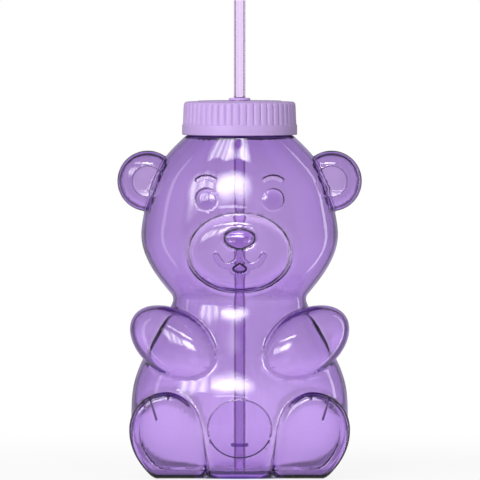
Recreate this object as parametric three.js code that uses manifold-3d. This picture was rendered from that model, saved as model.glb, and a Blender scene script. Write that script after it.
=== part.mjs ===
// A drinking bottle in the shape of a sitting bear: a hollow blow-moulded body, a ribbed screw lid with its
// gasket, and a straw that stands through a soft grommet in the lid.
// Millimetres, +Z up. The bear faces -Y, and the neck, the lid and the straw share the Z axis.
import * as THREE from "three";
import { mergeVertices } from "three/addons/utils/BufferGeometryUtils.js";
import Module from "manifold-3d";

const wasm = await Module();
wasm.setup();

// Main sizes of the body: its width over the ears, its depth from the feet to the back, and its height up to
// the shoulder under the lid. The moulded form keeps its proportions when one of them changes.
const BODY_WIDTH = 129.6;
const BODY_DEPTH = 96;
const BODY_HEIGHT = 179.3;

// Places on the body as shares of its height, of half its width and of half its depth
const up = (share) => share * BODY_HEIGHT;
const across = (share) => (share * BODY_WIDTH) / 2;
const deep = (share) => (share * BODY_DEPTH) / 2;

// Neck of the body, with the round shoulder that it stands on
const NECK_RADIUS = 26.4;
const NECK_WALL = 2.2;
const NECK_HEIGHT = 15.2;
const NECK_BEAD_RADIUS = 27.5;
const NECK_BEAD_HEIGHT = 1.1;
const SHOULDER_RADIUS = 29.6;

// Trunk stations, from the base to the shoulder under the lid: the height above the table, half of the width,
// and the depth in front of and behind the neck's axis
const station = (height, width, front, back) => ({
  height: up(height),
  halfWidth: across(width),
  front: deep(front),
  back: deep(back),
});
const BASE = station(0, 0.617, 0.792, 0.867);
const HEEL = station(0.0502, 0.787, 0.883, 0.958);
const HIP = station(0.1896, 0.886, 0.946, 1);
const FLANK = station(0.2833, 0.858, 0.889, 0.969);
const CHEST = station(0.3569, 0.775, 0.804, 0.896);
const ARMPIT = station(0.4406, 0.656, 0.702, 0.771);
const WAIST = station(0.5315, 0.543, 0.62, 0.656);
const JAW = station(0.5906, 0.673, 0.75, 0.771);
const CHEEK = station(0.7083, 0.804, 0.865, 0.906);
const TEMPLE = station(0.7713, 0.776, 0.854, 0.906);
const BROW = station(0.841, 0.75, 0.823, 0.875);
const CROWN = station(0.9063, 0.676, 0.76, 0.792);
const NAPE = station(0.9682, 0.546, 0.667, 0.677);
const SHOULDER = {
  height: BODY_HEIGHT,
  halfWidth: SHOULDER_RADIUS,
  front: SHOULDER_RADIUS,
  back: SHOULDER_RADIUS,
};

// Wall of the body, and the floor with the shallow push-up that leaves a standing ring under it
const WALL = 2;
const FLOOR_THICKNESS = 1.6;
const PUSH_UP_DEPTH = 0.6;
const PUSH_UP_RADIUS = across(0.4167);

// Ears: flat round lobes with a dished middle
const EAR_RADIUS = across(0.2485);
const EAR_SPREAD = BODY_WIDTH / 2 - EAR_RADIUS;
const EAR_HEIGHT = up(0.8717);
const EAR_HALF_DEPTH = 9.5;
const EAR_SET_BACK = 1;
const EAR_DISH_RADIUS = 8.2;
const EAR_DISH_DEPTH = 2.2;

// Arms: fat ovals that lie across the chest and reach forward to the paws
const ARM_SPREAD = across(0.5309);
const ARM_HEIGHT = up(0.396);
const ARM_SET_FORWARD = deep(0.4792);
const ARM_HALF_LENGTH = 28.2;
const ARM_HALF_THICKNESS = 17;
const ARM_HALF_DEPTH = 15;
const ARM_FULLNESS = 2.2;
const ARM_TILT_DEG = 28;
const ARM_TURN_DEG = 36;
const FINGER_COUNT = 2;
const FINGER_FAN_DEG = 26;
const FINGER_GROOVE_LENGTH = 7;

// Feet: upright pads in front of the hips. The last five shape the outline between its edges.
const FOOT_INNER_EDGE = across(0.2716);
const FOOT_OUTER_EDGE = across(0.9043);
const FOOT_SOLE_OUTER_EDGE = across(0.6867);
const FOOT_TOP = up(0.2644);
const FOOT_WIDEST_HEIGHT = up(0.1506);
const FOOT_FRONT = BODY_DEPTH / 2;
const FOOT_LENGTH = deep(0.8333);
const FOOT_EDGE_ROUNDING = 6;
const FOOT_HEEL_SHRINK = 0.16;
const FOOT_SOLE_SWELL = 0.45;
const FOOT_SHOULDER_RISE = 0.55;
const FOOT_INNER_LEAN = across(0.036);
const FOOT_TOP_OUTER_REACH = across(0.185);
const FOOT_TOP_INNER_REACH = across(0.1235);

// Grooves between the toes and between the fingers
const GROOVE_WIDTH = 1.8;
const GROOVE_DEPTH = 1;
const TOE_GROOVE_SPREADS = [across(0.5772), across(0.7284)];
const TOE_GROOVE_LENGTH = 12;
const TOE_GROOVE_LEAN = 0.4;

// Face: a domed muzzle with a nose and a mouth in relief, eyes that stand out and brows that are pressed in
const MUZZLE_HEIGHT = up(0.6682);
const MUZZLE_HALF_WIDTH = across(0.4213);
const MUZZLE_HALF_HEIGHT = up(0.1188);
const MUZZLE_FRONT = deep(0.9458);
const MUZZLE_HALF_DEPTH = deep(0.2708);
const MUZZLE_FULLNESS = 2.6;
const MUZZLE_TILT_DEG = 8;
const NOSE_HEIGHT = up(0.7105);
const NOSE_HALF_WIDTH = 7.8;
const NOSE_HALF_HEIGHT = 4.9;
const NOSE_RELIEF = 2;
const NOSE_TOP_FULLNESS = 1.1;
const NOSE_SIDE_FULLNESS = 1.4;
const EYE_SPREAD = across(0.2716);
const EYE_HEIGHT = up(0.8221);
const EYE_RADIUS = 5.3;
const EYE_RELIEF = 1.9;
const BROW_SPREAD = across(0.2731);
const BROW_HEIGHT = up(0.8879);
const BROW_HALF_LENGTH = 4.6;
const BROW_ARCH = 1.5;
const BROW_STROKE = 2.6;
const BROW_DEPTH = 0.9;

// Mouth: the stem's halves part below the nose, hang lowest under the cheeks and end in hooks
const MOUTH_STROKE = 3;
const MOUTH_RELIEF = 1;
const MOUTH_HALF_WIDTH = 12.4;
const MOUTH_DROP = 10;
const MOUTH_PARTING = { spread: 1.2, drop: 7.3 };
const MOUTH_LOWEST_SPREAD = 6.2;
const MOUTH_HOOK_BEND = { spread: 11.2, rise: 2.9 };
const MOUTH_HOOK_RISE = 6.1;
const LIP_STROKE = 2.3;
const LIP_DROP = 15.8;
const LIP_HALF_WIDTH = 6;
const LIP_RISE = 3.9;

// Belly disc
const BELLY_HEIGHT = up(0.1506);
const BELLY_HALF_WIDTH = across(0.2593);
const BELLY_HALF_HEIGHT = up(0.0853);
const BELLY_RELIEF = 0.9;

// Lid: the skirt clears the neck by the thread's depth, and the plug ring reaches into the neck
const SHOULDER_GAP = 1.5;
const THREAD_ROOM = 1.5;
const LID_WALL = 2.6;
const LID_PLATE = 2;
const LID_DRAFT = 1.1;
const LID_EDGE_ROUNDING = 1.8;
const LID_BAND_HEIGHT = 5.4;
const LID_BAND_STEP = 0.4;
const LID_PANEL_RADIUS = 22;
const LID_PANEL_RISE = 0.5;
const LID_HOLE_RADIUS = 4.4;
const RIB_COUNT = 48;
const RIB_DEPTH = 0.8;
const RIB_ROOT_DEPTH = 1.2;
const PLUG_WALL = 1.4;
const PLUG_DEPTH = 6.4;

// Gasket, grommet, straw and stop ring
const GASKET_THICKNESS = 1.6;
const GASKET_OVERHANG = 0.6;
const GROMMET_FLANGE = 1.25;
const GROMMET_TOP_THICKNESS = 1.3;
const GROMMET_UNDER_THICKNESS = 1.4;
const GROMMET_EDGE = 0.5;
const STRAW_DIAMETER = 6.1;
const STRAW_WALL = 0.55;
const STRAW_ABOVE_LID = 53.6;
const STRAW_FLOOR_GAP = 0.6;
const STOP_RING_DIAMETER = 9.5;
const STOP_RING_THICKNESS = 1.9;
const STOP_RING_HEIGHT = 13.2;
const STOP_RING_EDGE = 0.55;

// Clearances between pieces: flat seats, and round fits on the radius
const SEAT_GAP = 0.15;
const FIT_GAP = 0.25;

// Facets round each kind of form, steps along curves, and the reach of a stroke's end over half its width
const TRUNK_FACETS = 40;
const HOLLOW_FACETS = 28;
const TORSO_STEPS = 12;
const HEAD_STEPS = 18;
const HOLLOW_HEAD_STEPS = 14;
const LOBE_FACETS = 20;
const DOME_FACETS = 14;
const FOOT_STEPS = 5;
const FOOT_HOLLOW_STEPS = 3;
const FOOT_EDGE_STEPS = 3;
const OUTLINE_STEPS = 10;
const MOUTH_STEPS = 14;
const LIP_STEPS = 12;
const BROW_STEPS = 8;
const POINTS_PER_RIB = 5;
const NECK_FACETS = 40;
const STRAW_FACETS = 20;
const STROKE_END_REACH = 0.8;
const MERGE_DISTANCE = 1e-4;

// Places that follow from the sizes above
const neckTop = SHOULDER.height + NECK_HEIGHT;
const neckBore = NECK_RADIUS - NECK_WALL;
const floorTop = PUSH_UP_DEPTH + FLOOR_THICKNESS;
const gasketBottom = neckTop + SEAT_GAP;
const plateUnderside = gasketBottom + GASKET_THICKNESS + SEAT_GAP;
const lidTop = plateUnderside + LID_PLATE;
const panelTop = lidTop + LID_PANEL_RISE;
const lidBottom = SHOULDER.height + SHOULDER_GAP;
const skirtInside = NECK_RADIUS + THREAD_ROOM;
const bandRadius = skirtInside + LID_WALL;
const ribTopRadius = bandRadius - LID_DRAFT;
const plugRadius = neckBore - FIT_GAP;
const strawRadius = STRAW_DIAMETER / 2;
const strawBottom = floorTop + STRAW_FLOOR_GAP;

// A closed three.js geometry as a solid that can be joined and cut. Only positions count, corners that meet
// are shared, and triangles that shrink to nothing at a pole are left out.
function solid(geometry) {
  const bare = new THREE.BufferGeometry();
  bare.setAttribute("position", geometry.getAttribute("position"));
  bare.setIndex(geometry.index);
  const merged = mergeVertices(bare, MERGE_DISTANCE);
  const corners = merged.index.array;
  const triVerts = [];
  for (let i = 0; i < corners.length; i += 3) {
    const triangle = [corners[i], corners[i + 1], corners[i + 2]];
    if (new Set(triangle).size === 3) triVerts.push(...triangle);
  }
  return new wasm.Manifold(
    new wasm.Mesh({
      numProp: 3,
      vertProperties: merged.attributes.position.array,
      triVerts: new Uint32Array(triVerts),
    }),
  );
}

// A named piece with its own material, made from a solid.
function piece(name, made, colour, roughness, opacity = 1) {
  const result = made.getMesh();
  const geometry = new THREE.BufferGeometry();
  geometry.setAttribute("position", new THREE.BufferAttribute(result.vertProperties, 3));
  geometry.setIndex(new THREE.BufferAttribute(result.triVerts, 1));
  geometry.computeVertexNormals();
  const material = new THREE.MeshStandardMaterial({
    color: colour,
    roughness,
    metalness: 0,
    opacity,
    transparent: opacity < 1,
  });
  const mesh = new THREE.Mesh(geometry, material);
  mesh.name = name;
  return mesh;
}

const joined = (solids) => solids.reduce((whole, next) => whole.add(next));

// A profile of radius and height, turned once round the Z axis.
function turned(profile, facets) {
  return new THREE.LatheGeometry(profile, facets).rotateX(Math.PI / 2);
}

// A solid of revolution from [radius, height] corners that start and end on the axis.
function turnedSolid(corners, facets) {
  return solid(turned(corners.map(([radius, height]) => new THREE.Vector2(radius, height)), facets));
}

// A ring whose section is a closed loop of [radius, height] corners, counter-clockwise.
function ring(corners, facets) {
  return turnedSolid([...corners, corners[0]], facets);
}

// An ellipsoid with the given half sizes, turned and then placed. A fullness above 2 swells it between its
// front and its rim, which leaves its oval outline in the front view as it is.
function ellipsoid(halfSizes, place, facets, turn = new THREE.Euler(), fullness = 2) {
  const matrix = new THREE.Matrix4().compose(
    place,
    new THREE.Quaternion().setFromEuler(turn),
    halfSizes,
  );
  const ball = new THREE.SphereGeometry(1, facets, Math.round(facets / 2)).rotateX(Math.PI / 2);
  const position = ball.getAttribute("position");
  const point = new THREE.Vector3();
  for (let i = 0; i < position.count; i += 1) {
    point.fromBufferAttribute(position, i);
    const toRim = Math.hypot(point.x, point.z);
    point.divideScalar((toRim ** fullness + Math.abs(point.y) ** fullness) ** (1 / fullness));
    position.setXYZ(i, point.x, point.y, point.z);
  }
  return solid(ball.applyMatrix4(matrix));
}

// A flat outline in the front view, pushed back from a plane in front of the body to a given depth behind it.
function pushedBack(outline, front, depth) {
  const options = { depth, bevelEnabled: false, curveSegments: OUTLINE_STEPS };
  const geometry = new THREE.ExtrudeGeometry(outline, options);
  return solid(geometry.rotateX(Math.PI / 2).translate(0, depth - front, 0));
}

// The outline of a stroke of even width along a flat curve, with round ends.
function stroke(curve, width, steps = 1) {
  const half = width / 2;
  const left = [];
  const right = [];
  for (let i = 0; i <= steps; i += 1) {
    const point = curve.getPoint(i / steps);
    const along = curve.getTangent(i / steps);
    const across = new THREE.Vector2(-along.y, along.x).multiplyScalar(half);
    left.push(point.clone().add(across));
    right.unshift(point.clone().sub(across));
  }
  const endCap = (point, along) => point.clone().addScaledVector(along, half * STROKE_END_REACH);
  const tip = endCap(curve.getPoint(1), curve.getTangent(1));
  const tail = endCap(curve.getPoint(0), curve.getTangent(0).negate());
  return new THREE.Shape([...left, tip, ...right, tail]);
}

const TORSO = [BASE, HEEL, HIP, FLANK, CHEST, ARMPIT, WAIST];
const HEAD = [WAIST, JAW, CHEEK, TEMPLE, BROW, CROWN, NAPE, SHOULDER];
const STATIONS = [...TORSO, ...HEAD.slice(1)];

// How deep the trunk is at a height, as a share of its half width there, on its front or back.
function depthShare(height, side) {
  const next = STATIONS.findIndex((station) => station.height >= height);
  if (next < 0) return 1;
  const above = STATIONS[next];
  const below = STATIONS[Math.max(next - 1, 0)];
  const between = THREE.MathUtils.smoothstep(height, below.height, above.height);
  return THREE.MathUtils.lerp(below[side] / below.halfWidth, above[side] / above.halfWidth, between);
}

// The trunk's profile up to the shoulder, drawn in by an inset: one smooth run for the torso and one for the
// head, which meet in the crease of the waist.
function trunkProfile(inset, floor, torsoSteps, headSteps) {
  const inward = (station) => new THREE.Vector2(station.halfWidth - inset, Math.max(station.height, floor));
  const torso = new THREE.SplineCurve(TORSO.map(inward));
  const head = new THREE.SplineCurve(HEAD.map(inward));
  return [...torso.getPoints(torsoSteps), ...head.getPoints(headSteps).slice(1)];
}

// A body of revolution that is squeezed to the trunk's depth, front and back.
function squeezed(profile, facets) {
  const geometry = turned(profile, facets);
  const position = geometry.getAttribute("position");
  for (let i = 0; i < position.count; i += 1) {
    const side = position.getY(i) < 0 ? "front" : "back";
    position.setY(i, position.getY(i) * depthShare(position.getZ(i), side));
  }
  return solid(geometry);
}

// The trunk up to the shoulder as a full solid, drawn in by an inset or, for relief, let out by a negative
// one.
function trunk(inset) {
  const profile = trunkProfile(inset, BASE.height, TORSO_STEPS, HEAD_STEPS);
  const axisPoint = (height) => new THREE.Vector2(0, height);
  return squeezed([axisPoint(BASE.height), ...profile, axisPoint(SHOULDER.height)], TRUNK_FACETS);
}

// The space inside the trunk, which closes in to the neck's bore under the shoulder.
function trunkHollow() {
  const profile = trunkProfile(WALL, floorTop, TORSO_STEPS, HOLLOW_HEAD_STEPS).slice(0, -1);
  const roof = SHOULDER.height - WALL;
  const closing = [new THREE.Vector2(neckBore, roof), new THREE.Vector2(0, roof)];
  return squeezed([new THREE.Vector2(0, floorTop), ...profile, ...closing], HOLLOW_FACETS);
}

// The bore of the neck, from inside the shoulder to above the lip.
function mouth() {
  const bottom = SHOULDER.height - 2 * WALL;
  const top = neckTop + WALL;
  return turnedSolid([[0, bottom], [neckBore, bottom], [neckBore, top], [0, top]], NECK_FACETS);
}

// The trunk's front surface at a height and a distance to the side.
function trunkFront(spread, height) {
  const profile = trunkProfile(0, BASE.height, TORSO_STEPS, HEAD_STEPS);
  const next = profile.findIndex((point) => point.y > height);
  const [below, above] = [profile[next - 1], profile[next]];
  const halfWidth = THREE.MathUtils.mapLinear(height, below.y, above.y, below.x, above.x);
  return depthShare(height, "front") * Math.sqrt(halfWidth ** 2 - spread ** 2);
}

// The neck: a plain tube with a bead at its root. The mouth is bored later, with the space inside.
function neck() {
  const root = SHOULDER.height - WALL;
  const beadTop = SHOULDER.height + NECK_BEAD_HEIGHT;
  const corners = [
    [0, root],
    [NECK_BEAD_RADIUS, root],
    [NECK_BEAD_RADIUS, beadTop],
    [NECK_RADIUS, beadTop],
    [NECK_RADIUS, neckTop],
    [0, neckTop],
  ];
  return turnedSolid(corners, NECK_FACETS);
}

// An ear, with its dish cut into the front face. The dish is the cap of a large ball, which meets the domed
// face in a circle of the dish's radius, and its depth is taken from the dome's highest point.
function ear(side, inset) {
  const place = new THREE.Vector3(side * EAR_SPREAD, EAR_SET_BACK, EAR_HEIGHT);
  const radius = EAR_RADIUS - inset;
  const facets = inset > 0 ? DOME_FACETS : LOBE_FACETS;
  const lobe = ellipsoid(new THREE.Vector3(radius, EAR_HALF_DEPTH - inset, radius), place, facets);
  const domeFall = EAR_HALF_DEPTH * (1 - Math.sqrt(1 - (EAR_DISH_RADIUS / EAR_RADIUS) ** 2));
  const dishFall = EAR_DISH_DEPTH - domeFall;
  const ball = (EAR_DISH_RADIUS ** 2 + dishFall ** 2) / (2 * dishFall);
  const ballFront = EAR_SET_BACK - EAR_HALF_DEPTH + EAR_DISH_DEPTH - ball;
  const reach = ball + inset;
  const dishPlace = new THREE.Vector3(place.x, ballFront, EAR_HEIGHT);
  return lobe.subtract(ellipsoid(new THREE.Vector3(reach, reach, reach), dishPlace, LOBE_FACETS));
}

// An arm without its finger grooves.
function armLobe(side, inset) {
  const halfSizes = new THREE.Vector3(ARM_HALF_LENGTH, ARM_HALF_DEPTH, ARM_HALF_THICKNESS).subScalar(inset);
  const place = new THREE.Vector3(side * ARM_SPREAD, -ARM_SET_FORWARD, ARM_HEIGHT);
  const tilt = THREE.MathUtils.degToRad(-ARM_TILT_DEG * side);
  const turn = THREE.MathUtils.degToRad(ARM_TURN_DEG * side);
  const facets = inset > GROOVE_DEPTH ? DOME_FACETS : LOBE_FACETS;
  return ellipsoid(halfSizes, place, facets, new THREE.Euler(0, tilt, turn, "ZYX"), ARM_FULLNESS);
}

// A form less its skin along a stroke in the front view: a groove of even depth.
function grooveIn(form, shallowerForm, outline) {
  const reach = FOOT_FRONT + WALL;
  return form.subtract(pushedBack(outline, reach, reach).subtract(shallowerForm));
}

// An arm with the grooves between its fingers, which run in from the paw's tip.
function arm(side) {
  const inShallow = armLobe(side, GROOVE_DEPTH);
  let made = armLobe(side, 0);
  for (let finger = 0; finger < FINGER_COUNT; finger += 1) {
    const fromMiddle = finger - (FINGER_COUNT - 1) / 2;
    const fan = THREE.MathUtils.degToRad(ARM_TILT_DEG + fromMiddle * FINGER_FAN_DEG);
    const toPaw = new THREE.Vector2(-side * Math.cos(fan), -Math.sin(fan));
    const middle = new THREE.Vector2(side * ARM_SPREAD, ARM_HEIGHT);
    const tip = middle.clone().addScaledVector(toPaw, ARM_HALF_LENGTH);
    const start = tip.clone().addScaledVector(toPaw, -FINGER_GROOVE_LENGTH);
    made = grooveIn(made, inShallow, stroke(new THREE.LineCurve(start, tip), GROOVE_WIDTH));
  }
  return made;
}

// A foot's outline in the front view: a level sole, an outer side that swells above it and a round top.
function footOutline(side) {
  const middle = (FOOT_INNER_EDGE + FOOT_OUTER_EDGE) / 2;
  const shoulderHeight = THREE.MathUtils.lerp(FOOT_WIDEST_HEIGHT, FOOT_TOP, FOOT_SHOULDER_RISE);
  const innerTop = FOOT_INNER_EDGE + FOOT_INNER_LEAN;
  const outline = new THREE.Shape();
  outline.moveTo(side * innerTop, 0);
  outline.lineTo(side * FOOT_SOLE_OUTER_EDGE, 0);
  outline.quadraticCurveTo(
    side * FOOT_OUTER_EDGE,
    FOOT_WIDEST_HEIGHT * FOOT_SOLE_SWELL,
    side * FOOT_OUTER_EDGE,
    FOOT_WIDEST_HEIGHT,
  );
  outline.bezierCurveTo(
    side * FOOT_OUTER_EDGE,
    shoulderHeight,
    side * (middle + FOOT_TOP_OUTER_REACH),
    FOOT_TOP,
    side * middle,
    FOOT_TOP,
  );
  outline.bezierCurveTo(
    side * (middle - FOOT_TOP_INNER_REACH),
    FOOT_TOP,
    side * (innerTop + FOOT_INNER_LEAN),
    shoulderHeight,
    side * innerTop,
    FOOT_WIDEST_HEIGHT,
  );
  outline.lineTo(side * FOOT_INNER_EDGE, FOOT_EDGE_ROUNDING);
  return outline;
}

// A foot without its toe grooves: the outline pushed back into the hip, with a rounded front edge, and
// shrinking towards the heel. An inset draws it in all round.
function footLobe(side, inset) {
  const geometry = new THREE.ExtrudeGeometry(footOutline(side), {
    depth: FOOT_LENGTH - 2 * FOOT_EDGE_ROUNDING,
    bevelThickness: FOOT_EDGE_ROUNDING,
    bevelSize: FOOT_EDGE_ROUNDING,
    bevelOffset: -FOOT_EDGE_ROUNDING,
    bevelSegments: FOOT_EDGE_STEPS,
    curveSegments: inset > GROOVE_DEPTH ? FOOT_HOLLOW_STEPS : FOOT_STEPS,
  });
  geometry.rotateX(Math.PI / 2).translate(0, FOOT_LENGTH - FOOT_EDGE_ROUNDING - FOOT_FRONT, 0);
  const middle = (side * (FOOT_INNER_EDGE + FOOT_OUTER_EDGE)) / 2;
  const halfWidth = (FOOT_OUTER_EDGE - FOOT_INNER_EDGE) / 2;
  const position = geometry.getAttribute("position");
  for (let i = 0; i < position.count; i += 1) {
    const share = (position.getY(i) + FOOT_FRONT) / FOOT_LENGTH;
    const shrink = 1 - FOOT_HEEL_SHRINK * share;
    const drawnIn = (position.getX(i) - middle) * shrink * (1 - inset / halfWidth);
    const lowered = position.getZ(i) * shrink * (1 - (2 * inset) / FOOT_TOP);
    position.setXYZ(i, middle + drawnIn, position.getY(i) + inset * (1 - 2 * share), lowered + inset);
  }
  return solid(geometry);
}

// A foot with the grooves between its toes, which run down from its top edge.
function foot(side) {
  const inShallow = footLobe(side, GROOVE_DEPTH);
  let made = footLobe(side, 0);
  for (const spread of TOE_GROOVE_SPREADS) {
    const top = new THREE.Vector2(side * spread, FOOT_TOP + GROOVE_WIDTH);
    const lean = ((FOOT_INNER_EDGE + FOOT_OUTER_EDGE) / 2 - spread) * TOE_GROOVE_LEAN;
    const bottom = new THREE.Vector2(side * (spread + lean), FOOT_TOP - GROOVE_WIDTH - TOE_GROOVE_LENGTH);
    made = grooveIn(made, inShallow, stroke(new THREE.LineCurve(top, bottom), GROOVE_WIDTH));
  }
  return made;
}

// The muzzle's dome, drawn in by an inset or let out for relief.
function muzzle(inset) {
  const halfSizes = new THREE.Vector3(MUZZLE_HALF_WIDTH, MUZZLE_HALF_DEPTH, MUZZLE_HALF_HEIGHT);
  const place = new THREE.Vector3(0, MUZZLE_HALF_DEPTH - MUZZLE_FRONT, MUZZLE_HEIGHT);
  const facets = inset > 0 ? LOBE_FACETS : HOLLOW_FACETS;
  const tilt = new THREE.Euler(THREE.MathUtils.degToRad(MUZZLE_TILT_DEG), 0, 0);
  return ellipsoid(halfSizes.subScalar(inset), place, facets, tilt, MUZZLE_FULLNESS);
}

// Relief: what an outline in the front view cuts out of a form that is let out by the relief's height.
function relief(outline, letOutForm) {
  return pushedBack(outline, FOOT_FRONT + WALL, FOOT_FRONT).intersect(letOutForm);
}

// The nose: a rounded triangle, wide at the top.
function noseOutline() {
  const top = NOSE_HEIGHT + NOSE_HALF_HEIGHT;
  const bottom = NOSE_HEIGHT - NOSE_HALF_HEIGHT;
  const topReach = NOSE_HALF_WIDTH * NOSE_TOP_FULLNESS;
  const sideReach = NOSE_HALF_WIDTH * NOSE_SIDE_FULLNESS;
  const outline = new THREE.Shape();
  outline.moveTo(0, top);
  outline.bezierCurveTo(-topReach, top, -sideReach, NOSE_HEIGHT, 0, bottom);
  outline.bezierCurveTo(sideReach, NOSE_HEIGHT, topReach, top, 0, top);
  return outline;
}

// Half of the mouth: down from the nose, round under the muzzle's side and up to a hook.
function mouthCurve(side) {
  const nose = NOSE_HEIGHT - NOSE_HALF_HEIGHT;
  const low = nose - MOUTH_DROP;
  return new THREE.SplineCurve([
    new THREE.Vector2(0, nose + MOUTH_STROKE / 2),
    new THREE.Vector2(side * MOUTH_PARTING.spread, nose - MOUTH_PARTING.drop),
    new THREE.Vector2(side * MOUTH_LOWEST_SPREAD, low),
    new THREE.Vector2(side * MOUTH_HOOK_BEND.spread, low + MOUTH_HOOK_BEND.rise),
    new THREE.Vector2(side * MOUTH_HALF_WIDTH, low + MOUTH_HOOK_RISE),
  ]);
}

// The lower lip: a shallow arc under the mouth.
function lipCurve() {
  const low = NOSE_HEIGHT - NOSE_HALF_HEIGHT - LIP_DROP;
  return new THREE.SplineCurve([
    new THREE.Vector2(-LIP_HALF_WIDTH, low + LIP_RISE),
    new THREE.Vector2(0, low),
    new THREE.Vector2(LIP_HALF_WIDTH, low + LIP_RISE),
  ]);
}

// Everything on the muzzle's front that stands out from it.
function muzzleRelief() {
  const lines = joined([
    relief(stroke(mouthCurve(-1), MOUTH_STROKE, MOUTH_STEPS), muzzle(-MOUTH_RELIEF)),
    relief(stroke(mouthCurve(1), MOUTH_STROKE, MOUTH_STEPS), muzzle(-MOUTH_RELIEF)),
    relief(stroke(lipCurve(), LIP_STROKE, LIP_STEPS), muzzle(-MOUTH_RELIEF)),
  ]);
  return lines.add(relief(noseOutline(), muzzle(-NOSE_RELIEF)));
}

// An eye is a low dome on the head's front.
function eye(side) {
  const surface = trunkFront(EYE_SPREAD, EYE_HEIGHT);
  const place = new THREE.Vector3(side * EYE_SPREAD, -surface, EYE_HEIGHT);
  return ellipsoid(new THREE.Vector3(EYE_RADIUS, EYE_RELIEF, EYE_RADIUS), place, DOME_FACETS);
}

// A brow's outline: a short arched line above the eye.
function browOutline(side) {
  const middle = side * BROW_SPREAD;
  const curve = new THREE.SplineCurve([
    new THREE.Vector2(middle - BROW_HALF_LENGTH, BROW_HEIGHT - BROW_ARCH),
    new THREE.Vector2(middle, BROW_HEIGHT),
    new THREE.Vector2(middle + BROW_HALF_LENGTH, BROW_HEIGHT - BROW_ARCH),
  ]);
  return stroke(curve, BROW_STROKE, BROW_STEPS);
}

// The trunk with both brows pressed into it.
function browedTrunk() {
  const inShallow = trunk(BROW_DEPTH);
  return grooveIn(grooveIn(trunk(0), inShallow, browOutline(-1)), inShallow, browOutline(1));
}

// The round panel on the belly.
function bellyDisc() {
  const outline = new THREE.Shape();
  outline.absellipse(0, BELLY_HEIGHT, BELLY_HALF_WIDTH, BELLY_HALF_HEIGHT, 0, 2 * Math.PI);
  return relief(outline, trunk(-BELLY_RELIEF));
}

// The shallow push-up under the floor.
function pushUp() {
  const below = -WALL;
  const corners = [
    [0, below],
    [PUSH_UP_RADIUS, below],
    [PUSH_UP_RADIUS, 0],
    [PUSH_UP_RADIUS - 2 * PUSH_UP_DEPTH, PUSH_UP_DEPTH],
    [0, PUSH_UP_DEPTH],
  ];
  return turnedSolid(corners, NECK_FACETS);
}

// The body: all lobes joined, less the same lobes drawn in by the wall.
function bottleBody() {
  const sides = [-1, 1];
  const outside = joined([
    browedTrunk(),
    neck(),
    muzzle(0),
    muzzleRelief(),
    bellyDisc(),
    ...sides.flatMap((side) => [ear(side, 0), arm(side), foot(side), eye(side)]),
  ]);
  const inside = joined([
    trunkHollow(),
    mouth(),
    muzzle(WALL),
    ...sides.flatMap((side) => [ear(side, WALL), armLobe(side, WALL), footLobe(side, WALL)]),
  ]);
  return outside.subtract(inside).subtract(pushUp());
}

// The ribbed grip: an outline of wide round ribs with narrow grooves, drawn up the skirt and drawn in by its
// draft.
function lidRibs() {
  const crest = bandRadius - LID_BAND_STEP;
  const foot = lidBottom + LID_BAND_HEIGHT;
  const top = lidTop - LID_EDGE_ROUNDING;
  const outline = new THREE.Shape();
  const around = RIB_COUNT * POINTS_PER_RIB;
  const points = Array.from({ length: around }, (_, i) => {
    const angle = (2 * Math.PI * i) / around;
    const groove = (1 - Math.abs(Math.sin((angle * RIB_COUNT) / 2))) ** 2;
    const radius = crest - RIB_DEPTH * groove;
    return new THREE.Vector2(radius * Math.cos(angle), radius * Math.sin(angle));
  });
  outline.setFromPoints(points);
  outline.holes.push(new THREE.Path().absarc(0, 0, skirtInside + LID_WALL / 3, 0, 2 * Math.PI));
  const geometry = new THREE.ExtrudeGeometry(outline, {
    depth: top - foot,
    bevelEnabled: false,
    curveSegments: NECK_FACETS,
  });
  geometry.translate(0, 0, foot);
  const position = geometry.getAttribute("position");
  const topScale = ribTopRadius / crest;
  for (let i = 0; i < position.count; i += 1) {
    const scale = THREE.MathUtils.mapLinear(position.getZ(i), foot, top, 1, topScale);
    position.setX(i, position.getX(i) * scale);
    position.setY(i, position.getY(i) * scale);
  }
  return solid(geometry);
}

// The lid: a cup with a centre hole, a raised panel on top and a plug ring inside, joined to its ribs.
function lid() {
  const bandTop = lidBottom + LID_BAND_HEIGHT;
  const coreFoot = bandRadius - LID_BAND_STEP - RIB_ROOT_DEPTH;
  const coreTop = ribTopRadius - RIB_ROOT_DEPTH;
  const edgeMiddle = LID_EDGE_ROUNDING * (1 - Math.SQRT1_2);
  const corners = [
    [skirtInside, lidBottom],
    [bandRadius, lidBottom],
    [bandRadius, bandTop],
    [coreFoot, bandTop + LID_BAND_STEP],
    [coreTop, lidTop - LID_EDGE_ROUNDING],
    [coreTop - edgeMiddle, lidTop - edgeMiddle],
    [coreTop - LID_EDGE_ROUNDING, lidTop],
    [LID_PANEL_RADIUS + LID_PANEL_RISE, lidTop],
    [LID_PANEL_RADIUS, panelTop],
    [LID_HOLE_RADIUS, panelTop],
    [LID_HOLE_RADIUS, plateUnderside],
    [plugRadius - PLUG_WALL, plateUnderside],
    [plugRadius - PLUG_WALL, plateUnderside - PLUG_DEPTH],
    [plugRadius, plateUnderside - PLUG_DEPTH],
    [plugRadius, plateUnderside],
    [skirtInside, plateUnderside],
  ];
  return ring(corners, NECK_FACETS).add(lidRibs());
}

// The flat seal between the neck's lip and the lid, round the plug ring.
function lidGasket() {
  const inner = plugRadius + FIT_GAP;
  const outer = NECK_RADIUS + GASKET_OVERHANG;
  const top = gasketBottom + GASKET_THICKNESS;
  return ring(
    [
      [inner, gasketBottom],
      [outer, gasketBottom],
      [outer, top],
      [inner, top],
    ],
    NECK_FACETS,
  );
}

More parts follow.
